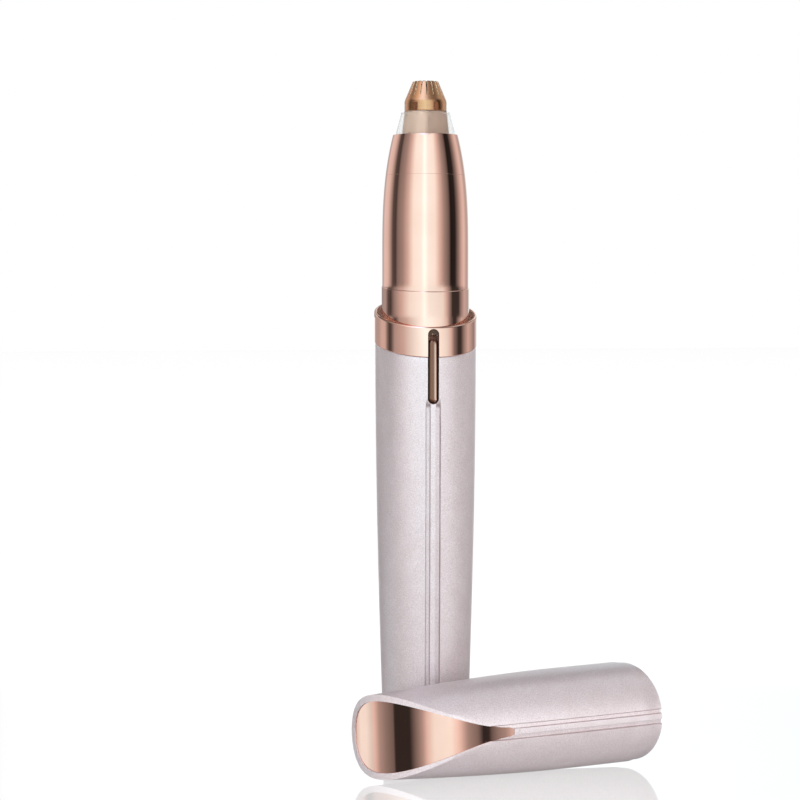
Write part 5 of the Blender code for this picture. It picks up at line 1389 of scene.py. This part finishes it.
COLLAR_STOPS = (
    (-180, 1.10), (-160, 1.10), (-152, 0.50), (-128, 0.56), (-114, 0.78), (-102, 0.75), (-95, 0.30),
    (-88, 0.08), (-82, 0.12), (-72, 0.52), (-50, 0.72), (-30, 1.30, PALE), (-10, 1.85, COOL),
    (-3, 2.1, COOL), (16, 1.90, COOL), (40, 1.55, PALE), (50, 1.30, PALE), (58, 0.88), (66, 0.32),
    (78, 0.05), (86, 0.06), (96, 0.38), (110, 0.76), (136, 0.34), (150, 0.70), (160, 1.20, PALE),
    (180, 1.10))
LOW_STOPS = (
    (-180, 0.50), (-135, 0.50), (-122, 0.90), (-108, 1.50, PALE), (-92, 1.50, PALE), (-80, 1.20, PALE),
    (-72, 0.95), (-62, 0.52), (-50, 0.33), (-38, 0.20), (-36, 0.04), (-17, 0.04), (-14, 0.13),
    (-8, 0.35), (-4, 0.55), (0, 0.95), (6, 1.50, PALE), (18, 1.60, PALE), (23, 1.10), (26, 0.72),
    (28.5, 0.45), (34.5, 0.25), (36, 0.04), (39.3, 0.04), (41, 0.20), (44, 0.36), (47, 0.48),
    (49, 0.85), (51, 1.60, PALE), (62, 1.60, PALE), (90, 0.50), (180, 0.50))
HIGH_STOPS = (
    (-180, 0.06), (-135, 0.06), (-108, 0.38), (-77, 0.80), (-50, 1.40), (-30, 3.40, BLUE),
    (-10, 3.40, BLUE), (6, 1.90, "D0E4FF"), (26, 0.46), (70, 0.22), (85, 0.50), (100, 1.00, PALE),
    (125, 0.50), (145, 0.06), (180, 0.06))
SOFT_STOPS = (
    (-180, 1.1), (-157, 1.1), (-150, 0.35), (-120, 0.30), (-90, 0.6), (-60, 1.3), (-30, 1.5), (0, 1.1),
    (30, 1.3), (55, 1.4), (80, 0.9), (100, 0.5), (150, 0.35), (158, 1.1), (180, 1.1))
PIT_STOPS = ((-180, 0.30), (0, 0.40), (180, 0.30))

# Each row has the band's name, its lower and upper rims as (radius, height) in mm, and its stops.
DRUM_RADIUS = 350
DRUM_MIDDLE = 0.1
DRUM_FOOT = -400
DRUM_TOP = 700
BANDS = (("deep_boards", DRUM_FOOT, -75, PIT_STOPS), ("inlay_boards", -75, -28, LOW_STOPS),
         ("foot_boards", -28, 30, SOFT_STOPS), ("collar_boards", 30, 84, COLLAR_STOPS),
         ("ring_boards", 84, 93.5, RING_STOPS), ("neck_boards", 93.5, 330, NECK_STOPS),
         ("high_boards", 330, DRUM_TOP, HIGH_STOPS))
for name, low, high, stops in BANDS:
    drum(name, ((DRUM_RADIUS, low), (DRUM_RADIUS, high)), stops)
    print(name, "from", low, "to", high, "mm with", len(stops), "stops")
drum("ceiling_boards", ((DRUM_RADIUS, DRUM_TOP), (DRUM_MIDDLE, DRUM_TOP)), HIGH_STOPS)
drum("pit_boards", ((DRUM_MIDDLE, DRUM_FOOT), (DRUM_RADIUS, DRUM_FOOT)), PIT_STOPS)

# %% [markdown]
# ## Lamps and world
# Three large soft boxes light the satin paint: one from the front left, one of about the same power
# from the front right, and a weaker one from further right. The world is white to the camera, to
# mirrors and to glass, and to everything else a dim grey that fades to black overhead, so the
# background stays white without more light on the object.

# %% Lamps
LAMP_TARGET = Vector((0, 0, 60 * MM))
# Each row has the name, the bearing from the camera and the height in degrees, the distance and the
# width in metres, the power in watts and the tint.
LAMPS = (("key", -30, 10, 0.9, 0.5, 4.8, PLAIN), ("fill", 66, 14, 1.0, 0.6, 2.2, "FFF6F8"),
         ("front", 32, 14, 0.9, 0.5, 5.0, PLAIN))


def soft_box(name, bearing, elevation, distance, size, power, tint):
    data = bpy.data.lights.new(name, "AREA")
    data.shape = "SQUARE"
    data.size = size
    data.energy = power
    data.color = linear(tint)[:3]
    lamp = bpy.data.objects.new(name, data)
    bpy.context.scene.collection.objects.link(lamp)
    flat = math.cos(math.radians(elevation)) * distance
    angle = CAMERA_AZIMUTH + math.radians(bearing)
    lamp.location = (flat * math.sin(angle), -flat * math.cos(angle),
                     math.sin(math.radians(elevation)) * distance)
    lamp.rotation_euler = (LAMP_TARGET - lamp.location).to_track_quat("-Z", "Y").to_euler()
    lamp.visible_glossy = False


def white_world():
    world = bpy.data.worlds.new("studio")
    bpy.context.scene.world = world
    world.use_nodes = True
    tree = world.node_tree
    tree.nodes.clear()
    facing = parts(tree, add(tree, "ShaderNodeTexCoord").outputs["Generated"])
    level = between(tree, facing["Z"], 0.22, 0.0, (0.1, 0.9))
    room = add(tree, "ShaderNodeBackground", {"Color": linear("EAE6E8"), "Strength": level}).outputs[0]
    white = add(tree, "ShaderNodeBackground", {"Color": WHITE_LIGHT, "Strength": 1.0}).outputs[0]
    add(tree, "ShaderNodeOutputWorld", {"Surface": mixed(tree, looked_at(tree)[1], room, white)})


for row in LAMPS:
    soft_box(*row)
white_world()
